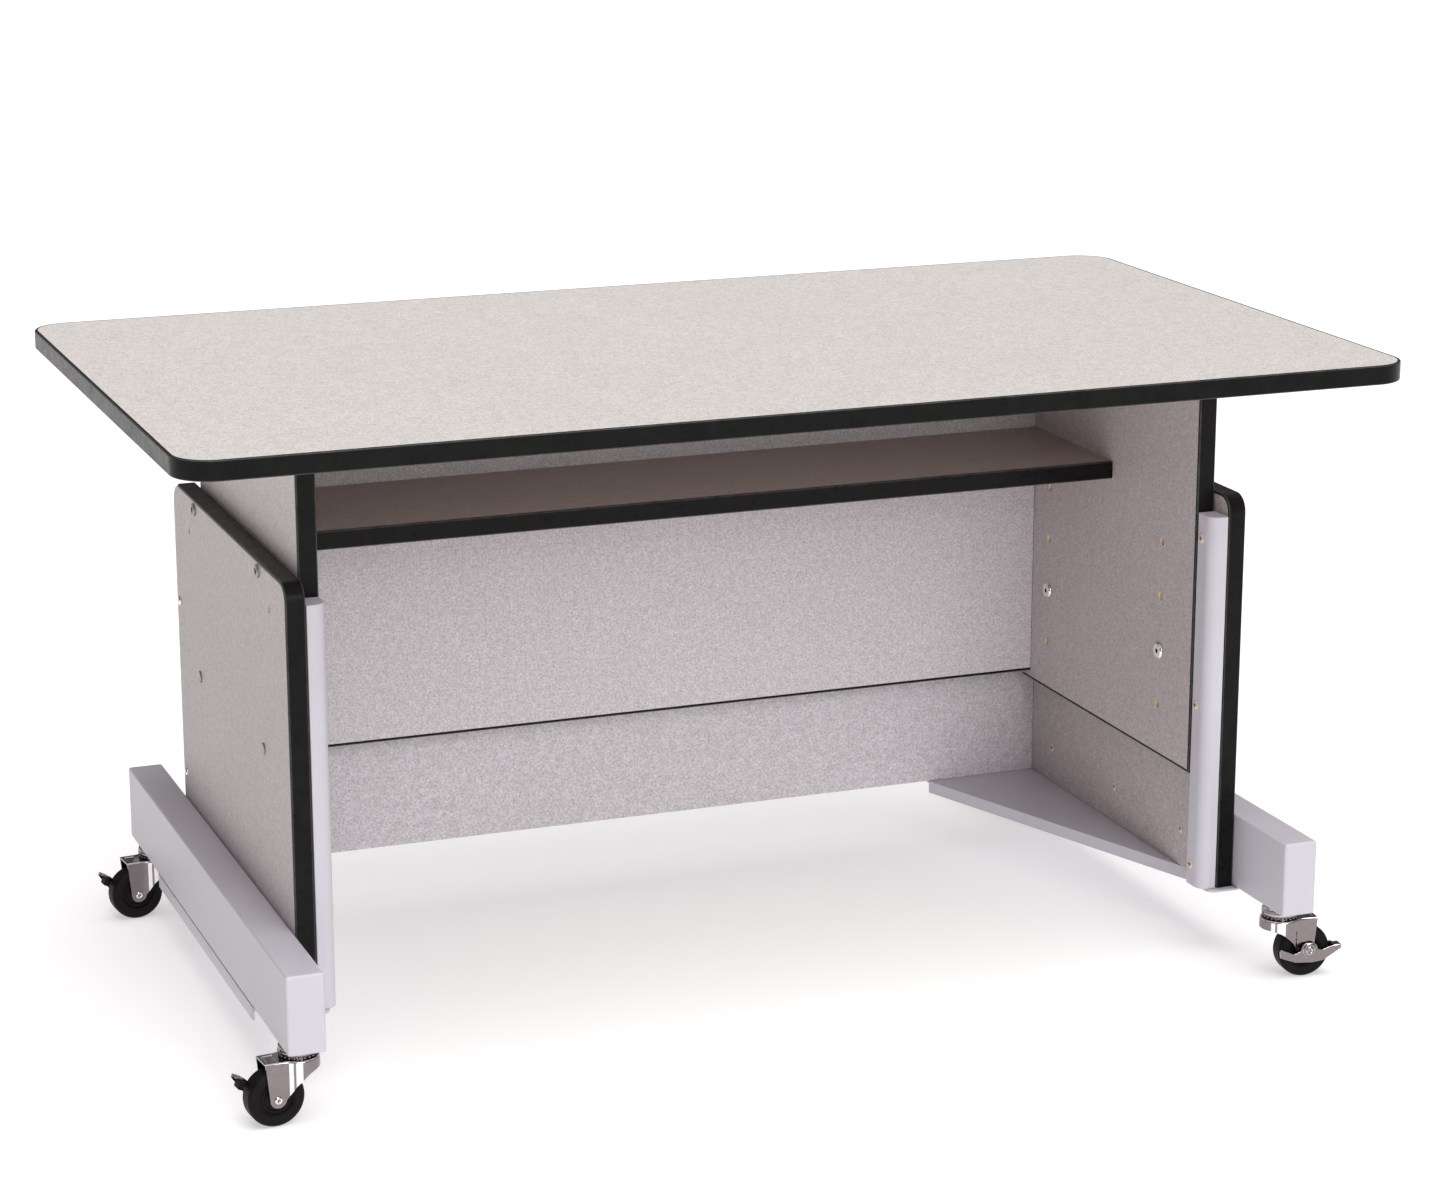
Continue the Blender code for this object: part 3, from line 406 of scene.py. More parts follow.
def flat_mesh(name, outlines, facing, low, high):
    """A filled outline, extruded between low and high along an axis; further outlines are holes."""
    curve = bpy.data.curves.new(name, "CURVE")
    curve.dimensions = "2D"
    curve.fill_mode = "BOTH"
    curve.extrude = (high - low) / 2
    for outline in outlines:
        spline = curve.splines.new("POLY")
        spline.points.add(len(outline) - 1)
        for point, (u, v) in zip(spline.points, outline):
            point.co = (u, v, 0.0, 1.0)
        spline.use_cyclic_u = True
    holder = bpy.data.objects.new(name, curve)
    bpy.context.scene.collection.objects.link(holder)
    mesh = bpy.data.meshes.new_from_object(holder.evaluated_get(bpy.context.evaluated_depsgraph_get()))
    bpy.data.objects.remove(holder)
    bpy.data.curves.remove(curve)
    mesh.name = name
    middle = Vector((0.0, 0.0, 0.0))
    middle[AXIS[facing]] = (low + high) / 2
    mesh.transform(Matrix.Translation(middle) @ FACING[facing])
    recalculate(mesh)
    return mesh


def lathe_mesh(name, profile, steps=48, closed=False, axis="z", centre=(0.0, 0.0, 0.0)):
    """A turned shape; profile points (radius, along) run down its outer side, open ends on the axis."""
    bm = bmesh.new()
    rings = []
    for radius, along in profile:
        if radius < 1e-7:
            rings.append([bm.verts.new((0.0, 0.0, along))])
            continue
        turns = [2 * math.pi * step / steps for step in range(steps)]
        rings.append([bm.verts.new((radius * math.cos(a), radius * math.sin(a), along)) for a in turns])
    pairs = list(zip(rings, rings[1:]))
    if closed:
        pairs.append((rings[-1], rings[0]))
    for upper, lower in pairs:
        for step in range(steps):
            follow = (step + 1) % steps
            corners = [upper[step % len(upper)], lower[step % len(lower)],
                       lower[follow % len(lower)], upper[follow % len(upper)]]
            unique = list(dict.fromkeys(corners))
            if len(unique) > 2:
                bm.faces.new(unique)
    turn = {"x": Matrix.Rotation(math.pi / 2, 4, "Y"), "y": Matrix.Rotation(-math.pi / 2, 4, "X"),
            "z": Matrix.Identity(4)}[axis]
    bmesh.ops.transform(bm, matrix=Matrix.Translation(centre) @ turn, verts=bm.verts)
    bmesh.ops.recalc_face_normals(bm, faces=bm.faces)
    mesh = bpy.data.meshes.new(name)
    bm.to_mesh(mesh)
    bm.free()
    return mesh


def rod_mesh(name, radius, start, end, steps=48, axis="z", centre=(0.0, 0.0, 0.0)):
    """A plain round cutter or pin along an axis."""
    profile = [(0.0, start), (radius, start), (radius, end), (0.0, end)]
    return lathe_mesh(name, profile, steps, axis=axis, centre=centre)


def box_mesh(name, low, high):
    bm = bmesh.new()
    bmesh.ops.create_cube(bm, size=1.0)
    bmesh.ops.scale(bm, vec=Vector(high) - Vector(low), verts=bm.verts)
    bmesh.ops.translate(bm, vec=(Vector(low) + Vector(high)) / 2, verts=bm.verts)
    mesh = bpy.data.meshes.new(name)
    bm.to_mesh(mesh)
    bm.free()
    return mesh


def scratch_object(mesh):
    obj = bpy.data.objects.new(mesh.name, mesh)
    bpy.context.scene.collection.objects.link(obj)
    return obj


def applied(obj, name):
    """The mesh of an object with its modifiers applied; the object is removed."""
    bpy.context.view_layer.update()
    mesh = bpy.data.meshes.new_from_object(obj.evaluated_get(bpy.context.evaluated_depsgraph_get()))
    bpy.data.objects.remove(obj)
    mesh.name = name
    return mesh


def combined(name, first, steps):
    """Booleans on a mesh: steps are (mesh, operation)."""
    obj = scratch_object(first)
    others = []
    for mesh, operation in steps:
        other = scratch_object(mesh)
        others.append(other)
        mod = obj.modifiers.new(mesh.name, "BOOLEAN")
        mod.operation = operation
        mod.solver = "EXACT"
        mod.object = other
    mesh = applied(obj, name)
    for other in others:
        bpy.data.objects.remove(other)
    return mesh


def softened(mesh, width, segments, angle=40.0):
    """The mesh with every edge sharper than an angle rounded."""
    obj = scratch_object(mesh)
    mod = obj.modifiers.new("round", "BEVEL")
    mod.limit_method = "ANGLE"
    mod.angle_limit = math.radians(angle)
    mod.width = width
    mod.segments = segments
    mod.use_clamp_overlap = True
    return applied(obj, mesh.name)


def rim_test(outline, facing):
    """A test for the edges that run along an outline across the facing axis."""
    axis = AXIS[facing]
    across = [AXIS[name] for name in "xyz" if name != facing]
    keys = {(round(u / MM, 1), round(v / MM, 1)) for u, v in outline}

    def on_rim(a, b):
        if abs(a[axis] - b[axis]) >= 0.05 * MM:
            return False
        return all(tuple(round(point[side] / MM, 1) for side in across) in keys for point in (a, b))

    return on_rim


def shouldered(mesh, wanted, width, segments):
    """The mesh with the edges rounded whose two ends satisfy wanted."""
    weights = mesh.attributes.new("bevel_weight_edge", "FLOAT", "EDGE")
    for edge in mesh.edges:
        a, b = (mesh.vertices[index].co for index in edge.vertices)
        weights.data[edge.index].value = 1.0 if wanted(a, b) else 0.0
    obj = scratch_object(mesh)
    mod = obj.modifiers.new("shoulder", "BEVEL")
    mod.limit_method = "WEIGHT"
    mod.width = width
    mod.segments = segments
    return applied(obj, mesh.name)


def piece(name, mesh, mats, body, replaced=(), angle=35.0, place=(0, 0, 0), turn=(0, 0, 0)):
    """An object of the desk, riding on a body: smooth where faces meet at less than an angle."""
    if not mesh.materials:
        for mat in mats:
            mesh.materials.append(mat)
    mesh.shade_smooth()
    mesh.set_sharp_from_angle(angle=math.radians(angle))
    obj = bpy.data.objects.new(name, mesh)
    bpy.context.scene.collection.objects.link(obj)
    obj.location = place
    obj.rotation_euler = turn
    even = obj.modifiers.new("even_normals", "WEIGHTED_NORMAL")
    even.keep_sharp = True
    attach(obj, body)
    if replaced:
        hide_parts(*replaced)
    return obj


# ---------------------------------------------------------------- boards

def paint_edges(mesh, facing, low, high):
    """Material 0 on the two laminated faces, 1 in the drilled holes, 2 on the taped edges."""
    axis = AXIS[facing]
    across = [AXIS[name] for name in "xyz" if name != facing]
    spans = [[vertex.co[side] for vertex in mesh.vertices] for side in across]
    sides = [(side, min(span), max(span)) for side, span in zip(across, spans)]
    for polygon in mesh.polygons:
        levels = [mesh.vertices[index].co[axis] for index in polygon.vertices]
        flat = max(levels) - min(levels) < 0.01 * MM
        outside = min(abs(levels[0] - low), abs(levels[0] - high)) < 0.01 * MM
        middle = polygon.center
        rim = min(min(middle[side] - start, end - middle[side]) for side, start, end in sides)
        if flat and outside:
            polygon.material_index = 0
        else:
            polygon.material_index = 2 if rim < RIM_DEPTH else 1


def board(node_name, facing, outlines, mats, body, mat="panel", cuts=()):
    """A laminated board in the place of a CAD node, its outlines across the facing axis."""
    low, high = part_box(node_name)
    axis = AXIS[facing]
    mesh = flat_mesh(node_name + "_laminated", outlines, facing, low[axis], high[axis])
    if cuts:
        mesh = combined(mesh.name, mesh, [(cut, "DIFFERENCE") for cut in cuts])
        recalculate(mesh)
    paint_edges(mesh, facing, low[axis], high[axis])
    mesh = softened(mesh, LAMINATE_EASE, 1, 60.0)
    finishes = (mats[mat], mats["raw"], mats["tape"])
    return piece(node_name + "_laminated", mesh, finishes, body, (node_name,))


def node_rectangle(node_name, facing):
    """The corners of a CAD node's box across the facing axis."""
    low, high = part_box(node_name)
    first, second = [AXIS[name] for name in "xyz" if name != facing]
    return rectangle(low[first], low[second], high[first], high[second])


def centre_of(node_name):
    low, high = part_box(node_name)
    return (low + high) / 2


def strip_band(name, node_name, outlines, exposed, facing, mats, body):
    """An edge band in the place of a CAD node, its shoulders rounded along the exposed outline."""
    low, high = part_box(node_name)
    axis = AXIS[facing]
    mesh = flat_mesh(name, outlines, facing, low[axis], high[axis])
    mesh = shouldered(mesh, rim_test(exposed, facing), BAND_SHOULDER, 5)
    # The rounded shoulders get the lighter black: a painted highlight along the band's edges.
    for polygon in mesh.polygons:
        polygon.material_index = 1 if 0.25 < abs(polygon.normal[axis]) < 0.95 else 0
    return piece(name, mesh, (mats["band"], mats["band_painted_highlight"]), body, (node_name,), 50.0)


def make_top(mats):
    low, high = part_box("tabletop_edge_band")

    def drawn_in(inset):
        corners = rectangle(low.x + inset, low.y + inset, high.x - inset, high.y - inset)
        return rounded_outline([(u, v, TOP_CORNER - inset) for u, v in corners], 24)

    rims = [drawn_in(0.0), drawn_in(BAND_THICKNESS)]
    strip_band("tabletop_band", "tabletop_edge_band", rims, rims[0], "z", mats, "upper_unit")
    outline = drawn_in(BAND_THICKNESS + BOARD_GAP)
    board("tabletop", "z", [outline], mats, "upper_unit", "top")


def clamp_rows(side):
    """(y, z) of the holes in a sliding side panel, counted from its two clamp bolts."""
    rows = []
    for end in ("front", "rear"):
        bolt = centre_of(f"clamp_bolt_{end}_{side}")
        rows += [(bolt.y, bolt.z + step * HOLE_PITCH) for step in (-1, 0, 1, 2)]
    return rows


def make_sliding_side(side, mats):
    name = f"inner_side_panel_{side}"
    holes = [circle(HOLE_RADIUS, centre) for centre in clamp_rows(side)]
    board(name, "x", [node_rectangle(name, "x")] + holes, mats, "upper_unit")
    band = f"inner_side_band_{side}"
    low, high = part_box(band)
    thick = BAND_THICKNESS
    strip = [(low.y, low.z), (high.y, low.z), (high.y, low.z + thick), (low.y + thick, low.z + thick),
             (low.y + thick, high.z), (low.y, high.z)]
    exposed = [strip[1], strip[0], strip[5]]
    strip_band(f"sliding_side_band_{side}", band, [strip], exposed, "x", mats, "upper_unit")


def make_back_and_shelf(mats):
    for name, facing, band, mat in (
        ("upper_back_panel", "y", "upper_back_band", "back"),
        ("shelf", "z", "shelf_band", "shelf"),
    ):
        outline = node_rectangle(name, facing)
        board(name, facing, [outline], mats, "upper_unit", mat)
        strip = node_rectangle(band, facing)
        strip_band(band + "_strip", band, [strip], strip[:2], facing, mats, "upper_unit")
    name = "lower_back_panel"
    board(name, "y", [node_rectangle(name, "y")], mats, "lower_unit", "back")


def outer_outline(side, inset, rear_radius):
    """Front, top and rear edge of an outer side panel, drawn in by inset from its band's outer face."""
    low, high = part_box(f"outer_side_band_{side}")
    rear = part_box(f"outer_side_panel_{side}")[1].y
    return rounded_outline([
        (low.y + inset, low.z, 0.0),
        (rear, low.z, 0.0),
        (rear, high.z - inset, rear_radius),
        (low.y + inset, high.z - inset, OUTER_FRONT_CORNER - inset),
    ], 16)


def outer_band_run(side, inset):
    """The band's line along the top edge, round the front corner and down the front edge."""
    low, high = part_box(f"outer_side_band_{side}")
    arc = outer_outline(side, inset, 0.0)[3:]
    return [(high.y, high.z - inset)] + arc + [(low.y + inset, low.z)]


def blind_hole(side, sign, y, z):
    """A cutter for a blind hole in the outside of an outer side panel."""
    low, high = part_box(f"outer_side_panel_{side}")
    face = high.x if sign > 0 else low.x
    depth = SPARE_HOLE_DEPTH
    profile = [(0.0, depth), (HOLE_RADIUS, depth), (HOLE_RADIUS, -depth), (0.0, -depth - 1.2 * MM)]
    if sign < 0:
        profile = [(radius, -along) for radius, along in reversed(profile)]
    return lathe_mesh("blind_hole", profile, 40, axis="x", centre=(face, y, z))


def make_outer_side(side, sign, mats):
    name = f"outer_side_panel_{side}"
    outline = outer_outline(side, BAND_THICKNESS + BOARD_GAP, OUTER_REAR_CORNER)
    bolts = [centre_of(f"{kind}_{end}_{side}")
             for kind in ("cap_nut", "upper_bolt") for end in ("front", "rear")]
    holes = [circle(HOLE_RADIUS, (bolt.y, bolt.z)) for bolt in bolts]
    cuts = [blind_hole(side, sign, y, z) for y, z in SPARE_HOLES]
    board(name, "x", [outline] + holes, mats, "lower_unit", cuts=cuts)
    outside = outer_band_run(side, 0.0)
    strip = outside + list(reversed(outer_band_run(side, BAND_THICKNESS)))
    strip_band(f"outer_side_edging_{side}", f"outer_side_band_{side}", [strip], outside, "x", mats,
               "lower_unit")


# ---------------------------------------------------------------- steel frame

def cad_mesh(node_name):
    """A CAD node's mesh in world space, welded, with its flat faces merged."""
    source = frame["nodes"][node_name]
    mesh = source.data.copy()
    mesh.materials.clear()
    mesh.transform(source.matrix_world)
    recalculate(mesh)
    return mesh


def make_post(side, sign, mats):
    name = f"front_post_{side}"
    low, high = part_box(name)
    inner, outer = (low.x, high.x) if sign > 0 else (high.x, low.x)
    edge = 1.0 * MM
    corners = [(inner, high.y, edge), (inner, low.y, POST_CORNER),
               (outer, low.y, edge), (outer, high.y, edge)]
    mesh = flat_mesh(name, [rounded_outline(corners, 14)], "z", low.z, high.z)
    mesh = softened(mesh, 0.7 * MM, 3, 60.0)
    piece(name + "_tube", mesh, (mats["powder"],), "lower_unit", (name,))
    for z in POST_SCREWS_Z:
        screw(f"post_screw_{side}_{round(z / MM)}", (inner, (low.y + high.y) / 2 + 5.5 * MM, z),
              (-sign, 0, 0), "post", mats["beige"], mats)


def make_leg(side, mats):
    name = f"leg_tube_{side}"
    mesh = softened(box_mesh(name, *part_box(name)), TUBE_ROUNDING, 6)
    piece(name + "_steel", mesh, (mats["powder"],), "lower_unit", (name,))


def plate_rounding(mesh, depth):
    """Round a pressed plate: its folds well, its sheared rims a little."""
    bm = bmesh.new()
    bm.from_mesh(mesh)
    weight = bm.edges.layers.float.new("bevel_weight_edge")
    for edge in bm.edges:
        if len(edge.link_faces) != 2 or edge.calc_face_angle() < math.radians(50):
            continue
        flat, wall = sorted(edge.link_faces, key=lambda face: -face.normal.z)
        heights = [vertex.co.z for vertex in wall.verts]
        folded = flat.normal.z > 0.99 and max(heights) - min(heights) > 0.6 * depth
        edge[weight] = 1.0 if folded else RIM_RADIUS / FOLD_RADIUS
    bm.to_mesh(mesh)
    bm.free()
    obj = scratch_object(mesh)
    mod = obj.modifiers.new("folds", "BEVEL")
    mod.limit_method = "WEIGHT"
    mod.width = FOLD_RADIUS
    mod.segments = 4
    return applied(obj, mesh.name)


def make_plate(side, mats):
    name = f"corner_plate_{side}"
    low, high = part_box(name)
    mesh = plate_rounding(cad_mesh(name), high.z - low.z)
    piece(name + "_pressed", mesh, (mats["powder"],), "lower_unit", (name,))
    under = high.z - SHEET
    panel = centre_of(f"outer_side_panel_{side}")
    for step in (-1, 0, 1):
        y = panel.y + step * PLATE_SCREW_STEP
        screw(f"plate_screw_{side}_{step + 2}", (panel.x, y, under), (0, 0, -1), "plate",
              mats["bolt"], mats)


# ---------------------------------------------------------------- bolts and screws

def facing_turn(direction):
    """The rotation that turns local +Z to a direction."""
    return Vector(direction).to_track_quat("Z", "Y").to_euler()


def screw(name, place, direction, kind, mat, mats):
    """A pan head with a cross recess, its seat at place."""
    radius, height = SCREW_HEADS[kind]
    profile = [(0.0, height), (0.42 * radius, 0.97 * height), (0.72 * radius, 0.84 * height),
               (0.92 * radius, 0.56 * height), (radius, 0.18 * height), (0.98 * radius, 0.0),
               (0.5 * radius, 0.0), (0.5 * radius, -3.0 * MM), (0.0, -3.0 * MM)]
    head = lathe_mesh(name, profile, 32)
    # The cross recess gets the dark socket finish: painted shade.
    for item in (mat, mats["dark"]):
        head.materials.append(item)
    reach, slot_width = 0.44 * radius, 0.11 * radius
    first = box_mesh("slot_a", (-reach, -slot_width, 0.35 * height), (reach, slot_width, 2 * height))
    second = box_mesh("slot_b", (-slot_width, -reach, 0.34 * height), (slot_width, reach, 2.1 * height))
    for cutter in (first, second):
        for polygon in cutter.polygons:
            polygon.material_index = 1
    mesh = combined(name, head, ((first, "DIFFERENCE"), (second, "DIFFERENCE")))
    piece(name, mesh, (), "lower_unit", (), 40.0, place, facing_turn(direction))


def bolt_head_mesh(name, radius, height, bevel, socket, finishes):
    """A bolt head, its shank and a hex socket; finishes are for faces, rounded rim and socket. A bright
    rim finish is a painted highlight, the dark socket finish painted shade.
    """
    profile = [(0.0, height), (radius - bevel, height), (radius - 0.15 * bevel, height - 0.75 * bevel),
               (radius, height - 1.3 * bevel), (radius, 0.25 * MM), (radius - 0.25 * MM, 0.0),
               (BOLT_SHANK, 0.0), (BOLT_SHANK, -BOLT_LENGTH), (0.0, -BOLT_LENGTH)]
    head = lathe_mesh(name, profile, 64)
    for finish in finishes:
        head.materials.append(finish)
    for polygon in head.polygons:
        polygon.material_index = 1 if 0.0 < polygon.center.z < height - 0.01 * MM else 0
    hexagon = lathe_mesh("socket", [(0.0, 2 * height), (socket, 2 * height), (socket, 0.15 * height),
                                    (0.0, -0.1 * height)], 6)
    for polygon in hexagon.polygons:
        polygon.material_index = 2
    return combined(name, head, ((hexagon, "DIFFERENCE"),))


def cap_nut_mesh():
    """A flat domed head on a barrel."""
    radius, height = 6.0 * MM, 1.2 * MM
    profile = [(0.0, height * 0.93), (0.55 * radius, height), (radius - 0.5 * MM, height),
               (radius - 0.1 * MM, height - 0.35 * MM), (radius, 0.3 * MM), (radius - 0.2 * MM, 0.0),
               (BOLT_SHANK, 0.0), (BOLT_SHANK, -BOLT_LENGTH), (0.0, -BOLT_LENGTH)]
    return lathe_mesh("cap_nut", profile, 48)


def make_bolts(mats):
    # Zinc faces, a bright steel rim as a painted highlight and a dark socket as painted shade.
    plated = (mats["zinc"], mats["bright"], mats["dark"])
    quiet = (mats["dull"], mats["dull"], mats["dark"])
    clamp = bolt_head_mesh("clamp_bolt", 8.75 * MM, 2.6 * MM, 1.5 * MM, 2.5 * MM, plated)
    upper = bolt_head_mesh("upper_bolt", 6.6 * MM, 2.2 * MM, 1.2 * MM, 3.4 * MM, quiet)
    nut = cap_nut_mesh()
    for corner, sign in CORNERS:
        for name, mesh, way, body, slots in (
            ("clamp_bolt", clamp, -sign, "upper_unit", ()),
            ("upper_bolt", upper, sign, "lower_unit", ()),
            ("cap_nut", nut, sign, "lower_unit", (mats["dull"],)),
        ):
            node_name = f"{name}_{corner}"
            low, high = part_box(node_name)
            head = mesh_height(mesh)
            face = high.x if way > 0 else low.x
            seat = (face - way * head, (low.y + high.y) / 2, (low.z + high.z) / 2)
            piece(f"{name}_head_{corner}", mesh, slots, body, (node_name,), 40.0, seat,
                  facing_turn((way, 0, 0)))


def mesh_height(mesh):
    return max(vertex.co.z for vertex in mesh.vertices)


def make_panel_screws(side, sign, mats):
    """Two bright screws near the rear edge outside and three flat ones at the foot inside."""
    low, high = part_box(f"outer_side_panel_{side}")
    outside, inside = (high.x, low.x) if sign > 0 else (low.x, high.x)
    back = centre_of("lower_back_panel").y
    for number, z in enumerate(REAR_SCREWS_Z):
        screw(f"rear_screw_{side}_{number + 1}", (outside, back, z), (sign, 0, 0), "rear",
              mats["bright"], mats)
    for number, y in enumerate(FOOT_SCREWS_Y):
        screw(f"foot_screw_{side}_{number + 1}", (inside, y, FOOT_SCREW_Z), (-sign, 0, 0), "foot",
              mats["beige"], mats)


# ---------------------------------------------------------------- casters

def cap_mesh():
    """The stem, the raceway cap with its crimped double rim, and the riveted kingpin."""
    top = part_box("leg_tube_left")[0].z - 0.3 * MM
    plate_bottom = FORK_TOP - FORK_SHEET
    stem, pin = 4.7 * MM, 5.5 * MM
    rim, bend = CAP_RADIUS, 3.2 * MM
    arc = [(rim - bend * (1 - math.sin(a)), top - bend * (1 - math.cos(a)))
           for a in (math.radians(9 * i) for i in range(11))]
    profile = [(0.0, top + 24 * MM), (stem - MM, top + 24 * MM), (stem, top + 23 * MM), (stem, top),
               (rim - 6.5 * MM, top)] + arc + [
        (rim, top - 4.4 * MM), (rim - 0.9 * MM, top - 5.0 * MM), (rim - 0.9 * MM, top - 6.4 * MM),
        (rim - 0.1 * MM, top - 7.0 * MM), (rim, CAP_BOTTOM + 1.6 * MM),
        (rim - 0.15 * MM, CAP_BOTTOM + 0.5 * MM), (rim - 0.7 * MM, CAP_BOTTOM),
        (rim - 1.8 * MM, CAP_BOTTOM), (rim - 1.8 * MM, CAP_BOTTOM + 4 * MM),
        (pin, CAP_BOTTOM + 4 * MM), (pin, plate_bottom - 0.3 * MM),
        (pin + 3 * MM, plate_bottom - 0.3 * MM), (pin + 2.4 * MM, plate_bottom - 1.6 * MM),
        (pin + 1.2 * MM, plate_bottom - 2.4 * MM), (0.0, plate_bottom - 2.8 * MM)]
    # The cap's curved faces get the bright steel: a painted highlight.
    return paint_highlight_on_roundings(lathe_mesh("caster_cap", profile, 72), 0.25, 0.9)


def balls_mesh():
    """The lower row of bearing balls, seen between the cap and the fork."""
    bm = bmesh.new()
    radius = (CAP_BOTTOM - FORK_TOP) / 2 - 0.3 * MM
    height = (CAP_BOTTOM + FORK_TOP) / 2
    ring = CAP_RADIUS - 1.9 * MM
    for number in range(BALL_COUNT):
        turn = 2 * math.pi * number / BALL_COUNT
        place = Matrix.Translation((ring * math.cos(turn), ring * math.sin(turn), height))
        bmesh.ops.create_uvsphere(bm, u_segments=16, v_segments=10, radius=radius, matrix=place)
    mesh = bpy.data.meshes.new("caster_balls")
    bm.to_mesh(mesh)
    bm.free()
    return mesh


def fork_plan(inset, tail):
    """Plan of the fork, round at the stem and straight towards the tail, drawn in by inset."""
    radius = FORK_ROUND - inset
    width = FORK_HALF - inset
    meet = math.asin(width / radius)
    steps = 44
    start = meet + math.radians(6)
    sweep = 2 * (math.pi - start)
    turns = [start + sweep * i / steps for i in range(steps + 1)]
    arc = [(radius * math.cos(a), radius * math.sin(a)) for a in turns]
    neck = radius * math.cos(meet) + 4 * MM
    return [(tail, width), (neck, width)] + arc + [(neck, -width), (tail, -width)]


def fork_silhouette():
    """The fork from the side: tail, eye round the axle, taper and front apron."""
    apron = FORK_TOP - APRON_DEPTH
    above = FORK_TOP + 8 * MM
    front = -FORK_ROUND - MM
    eye = circle(EYE_RADIUS, (TRAIL, WHEEL_RADIUS), 64)
    eye = [eye[-i % 64] for i in range(1, 32)]
    taper = rounded_outline([(17.4 * MM, 23.0 * MM, 0.0), (12.4 * MM, 33.0 * MM, 20 * MM),
                             (8.0 * MM, 40.0 * MM, 10 * MM), (-4.5 * MM, 51.0 * MM, 20 * MM),
                             (-14.0 * MM, apron, 0.0), (front, apron, 0.0), (front, above, 0.0)], 6)
    return [(FORK_TAIL + MM, above), (FORK_TAIL, FORK_TOP)] + eye + taper[1:]


def paint_highlight_on_roundings(mesh, low=0.2, high=0.97):
    """Second material, bright steel as a painted highlight, on the faces that are turned neither flat
    nor upright.
    """
    for polygon in mesh.polygons:
        polygon.material_index = 1 if low < abs(polygon.normal.z) < high else 0
    return mesh


def paint_highlight_on_neck(mesh, highlight_bands):
    """The same painted highlight in bands (from, to), in degrees from the tail, on the fork's round
    neck.
    """
    for polygon in mesh.polygons:
        middle = polygon.center
        turn = math.degrees(math.atan2(abs(middle.y), middle.x))
        outside = middle.xy.length > FORK_ROUND - FORK_SHEET / 2
        if outside and abs(polygon.normal.z) < 0.2 and any(start < turn < end for start, end in highlight_bands):
            polygon.material_index = 1
    return mesh


def fork_mesh(highlight_bands):
    """The pressed swivel fork: a plate with a race ring and a stamped recess, an apron and two legs."""
    outline = fork_plan(0.0, FORK_TAIL)
    body = flat_mesh("caster_fork", [outline], "z", 5 * MM, FORK_TOP)

    def top_rim(a, b):
        level = abs(a.z - b.z) < 0.05 * MM
        return level and a.z > FORK_TOP - 0.1 * MM and a.x + b.x < 1.99 * FORK_TAIL

    body = shouldered(body, top_rim, 1.9 * MM, 5)
    inside = flat_mesh("inside", [fork_plan(FORK_SHEET, FORK_TAIL + 5 * MM)], "z", 2 * MM,
                       FORK_TOP - FORK_SHEET)
    silhouette = flat_mesh("silhouette", [fork_silhouette()], "y", -30 * MM, 30 * MM)
    race_top = FORK_TOP + 6.5 * MM
    ring = lathe_mesh("race", [(RACE_INNER, race_top), (RACE_OUTER - 0.5 * MM, race_top),
                               (RACE_OUTER, race_top - 0.5 * MM), (RACE_OUTER, FORK_TOP - MM),
                               (RACE_INNER, FORK_TOP - MM)], 64, True)
    kingpin = rod_mesh("kingpin", 5.6 * MM, 75 * MM, 50 * MM)
    axle = rod_mesh("axle", 3.2 * MM, 20 * MM, -20 * MM, 48, "y", (TRAIL, 0.0, WHEEL_RADIUS))
    pin = rod_mesh("pin", 2.1 * MM, 0.0, -20 * MM, 24, "y", (TRAIL, 0.0, WHEEL_RADIUS + BRAKE_PIN))
    recess = softened(box_mesh("recess", (22.5 * MM, -8.0 * MM, FORK_TOP - 0.6 * MM),
                               (FORK_TAIL - 3.0 * MM, 8.0 * MM, FORK_TOP + 5 * MM)), 1.0 * MM, 3)
    steps = ((inside, "DIFFERENCE"), (silhouette, "INTERSECT"), (ring, "UNION"), (kingpin, "DIFFERENCE"),
             (axle, "DIFFERENCE"), (pin, "DIFFERENCE"), (recess, "DIFFERENCE"))
    mesh = softened(combined("caster_fork", body, steps), 0.22 * MM, 2, 50.0)
    # Rounded folds, rims and the neck bands get the bright steel: painted highlights in place of
    # reflection stripes.
    return paint_highlight_on_neck(paint_highlight_on_roundings(mesh), highlight_bands)


def axle_mesh():
    """The axle rivet: a ring-shaped peened head at each end."""
    grip = FORK_HALF + 0.3 * MM
    head = grip + 1.35 * MM
    half = [(0.0, grip + 0.5 * MM), (1.0 * MM, grip + 0.55 * MM), (1.7 * MM, head - 0.3 * MM),
            (2.3 * MM, head), (2.9 * MM, head - 0.1 * MM), (3.6 * MM, grip + 0.65 * MM),
            (3.85 * MM, grip + 0.2 * MM), (3.8 * MM, grip), (3.1 * MM, grip)]
    mesh = lathe_mesh("caster_axle", half + [(r, -z) for r, z in reversed(half)], 40)
    # The outer ring of each peened head gets the bright steel: a painted highlight.
    for polygon in mesh.polygons:
        polygon.material_index = 1 if polygon.center.xy.length > 1.9 * MM else 0
    return mesh


def wheel_profile(corners):
    """A rounded half profile (radius, along, rounding) and its mirror image."""
    return corners + [(r, -z, rounding) for r, z, rounding in reversed(corners)]


def tyre_mesh():
    """Solid rubber tyre with full shoulders, a ringed side wall and a lip at the hub."""
    half = WHEEL_HALF
    bore = 14.6 * MM
    outline = rounded_outline(wheel_profile([
        (bore, half - 2.4 * MM, 0.0),
        (15.6 * MM, half - 2.2 * MM, 0.4 * MM),
        (16.3 * MM, half - 0.7 * MM, 0.7 * MM),
        (17.6 * MM, half - 0.7 * MM, 0.4 * MM),
        (18.4 * MM, half - 0.05 * MM, 0.8 * MM),
        (WHEEL_RADIUS, half, 4.6 * MM),
    ]), 8)
    return lathe_mesh("caster_tyre", outline, 96, True)


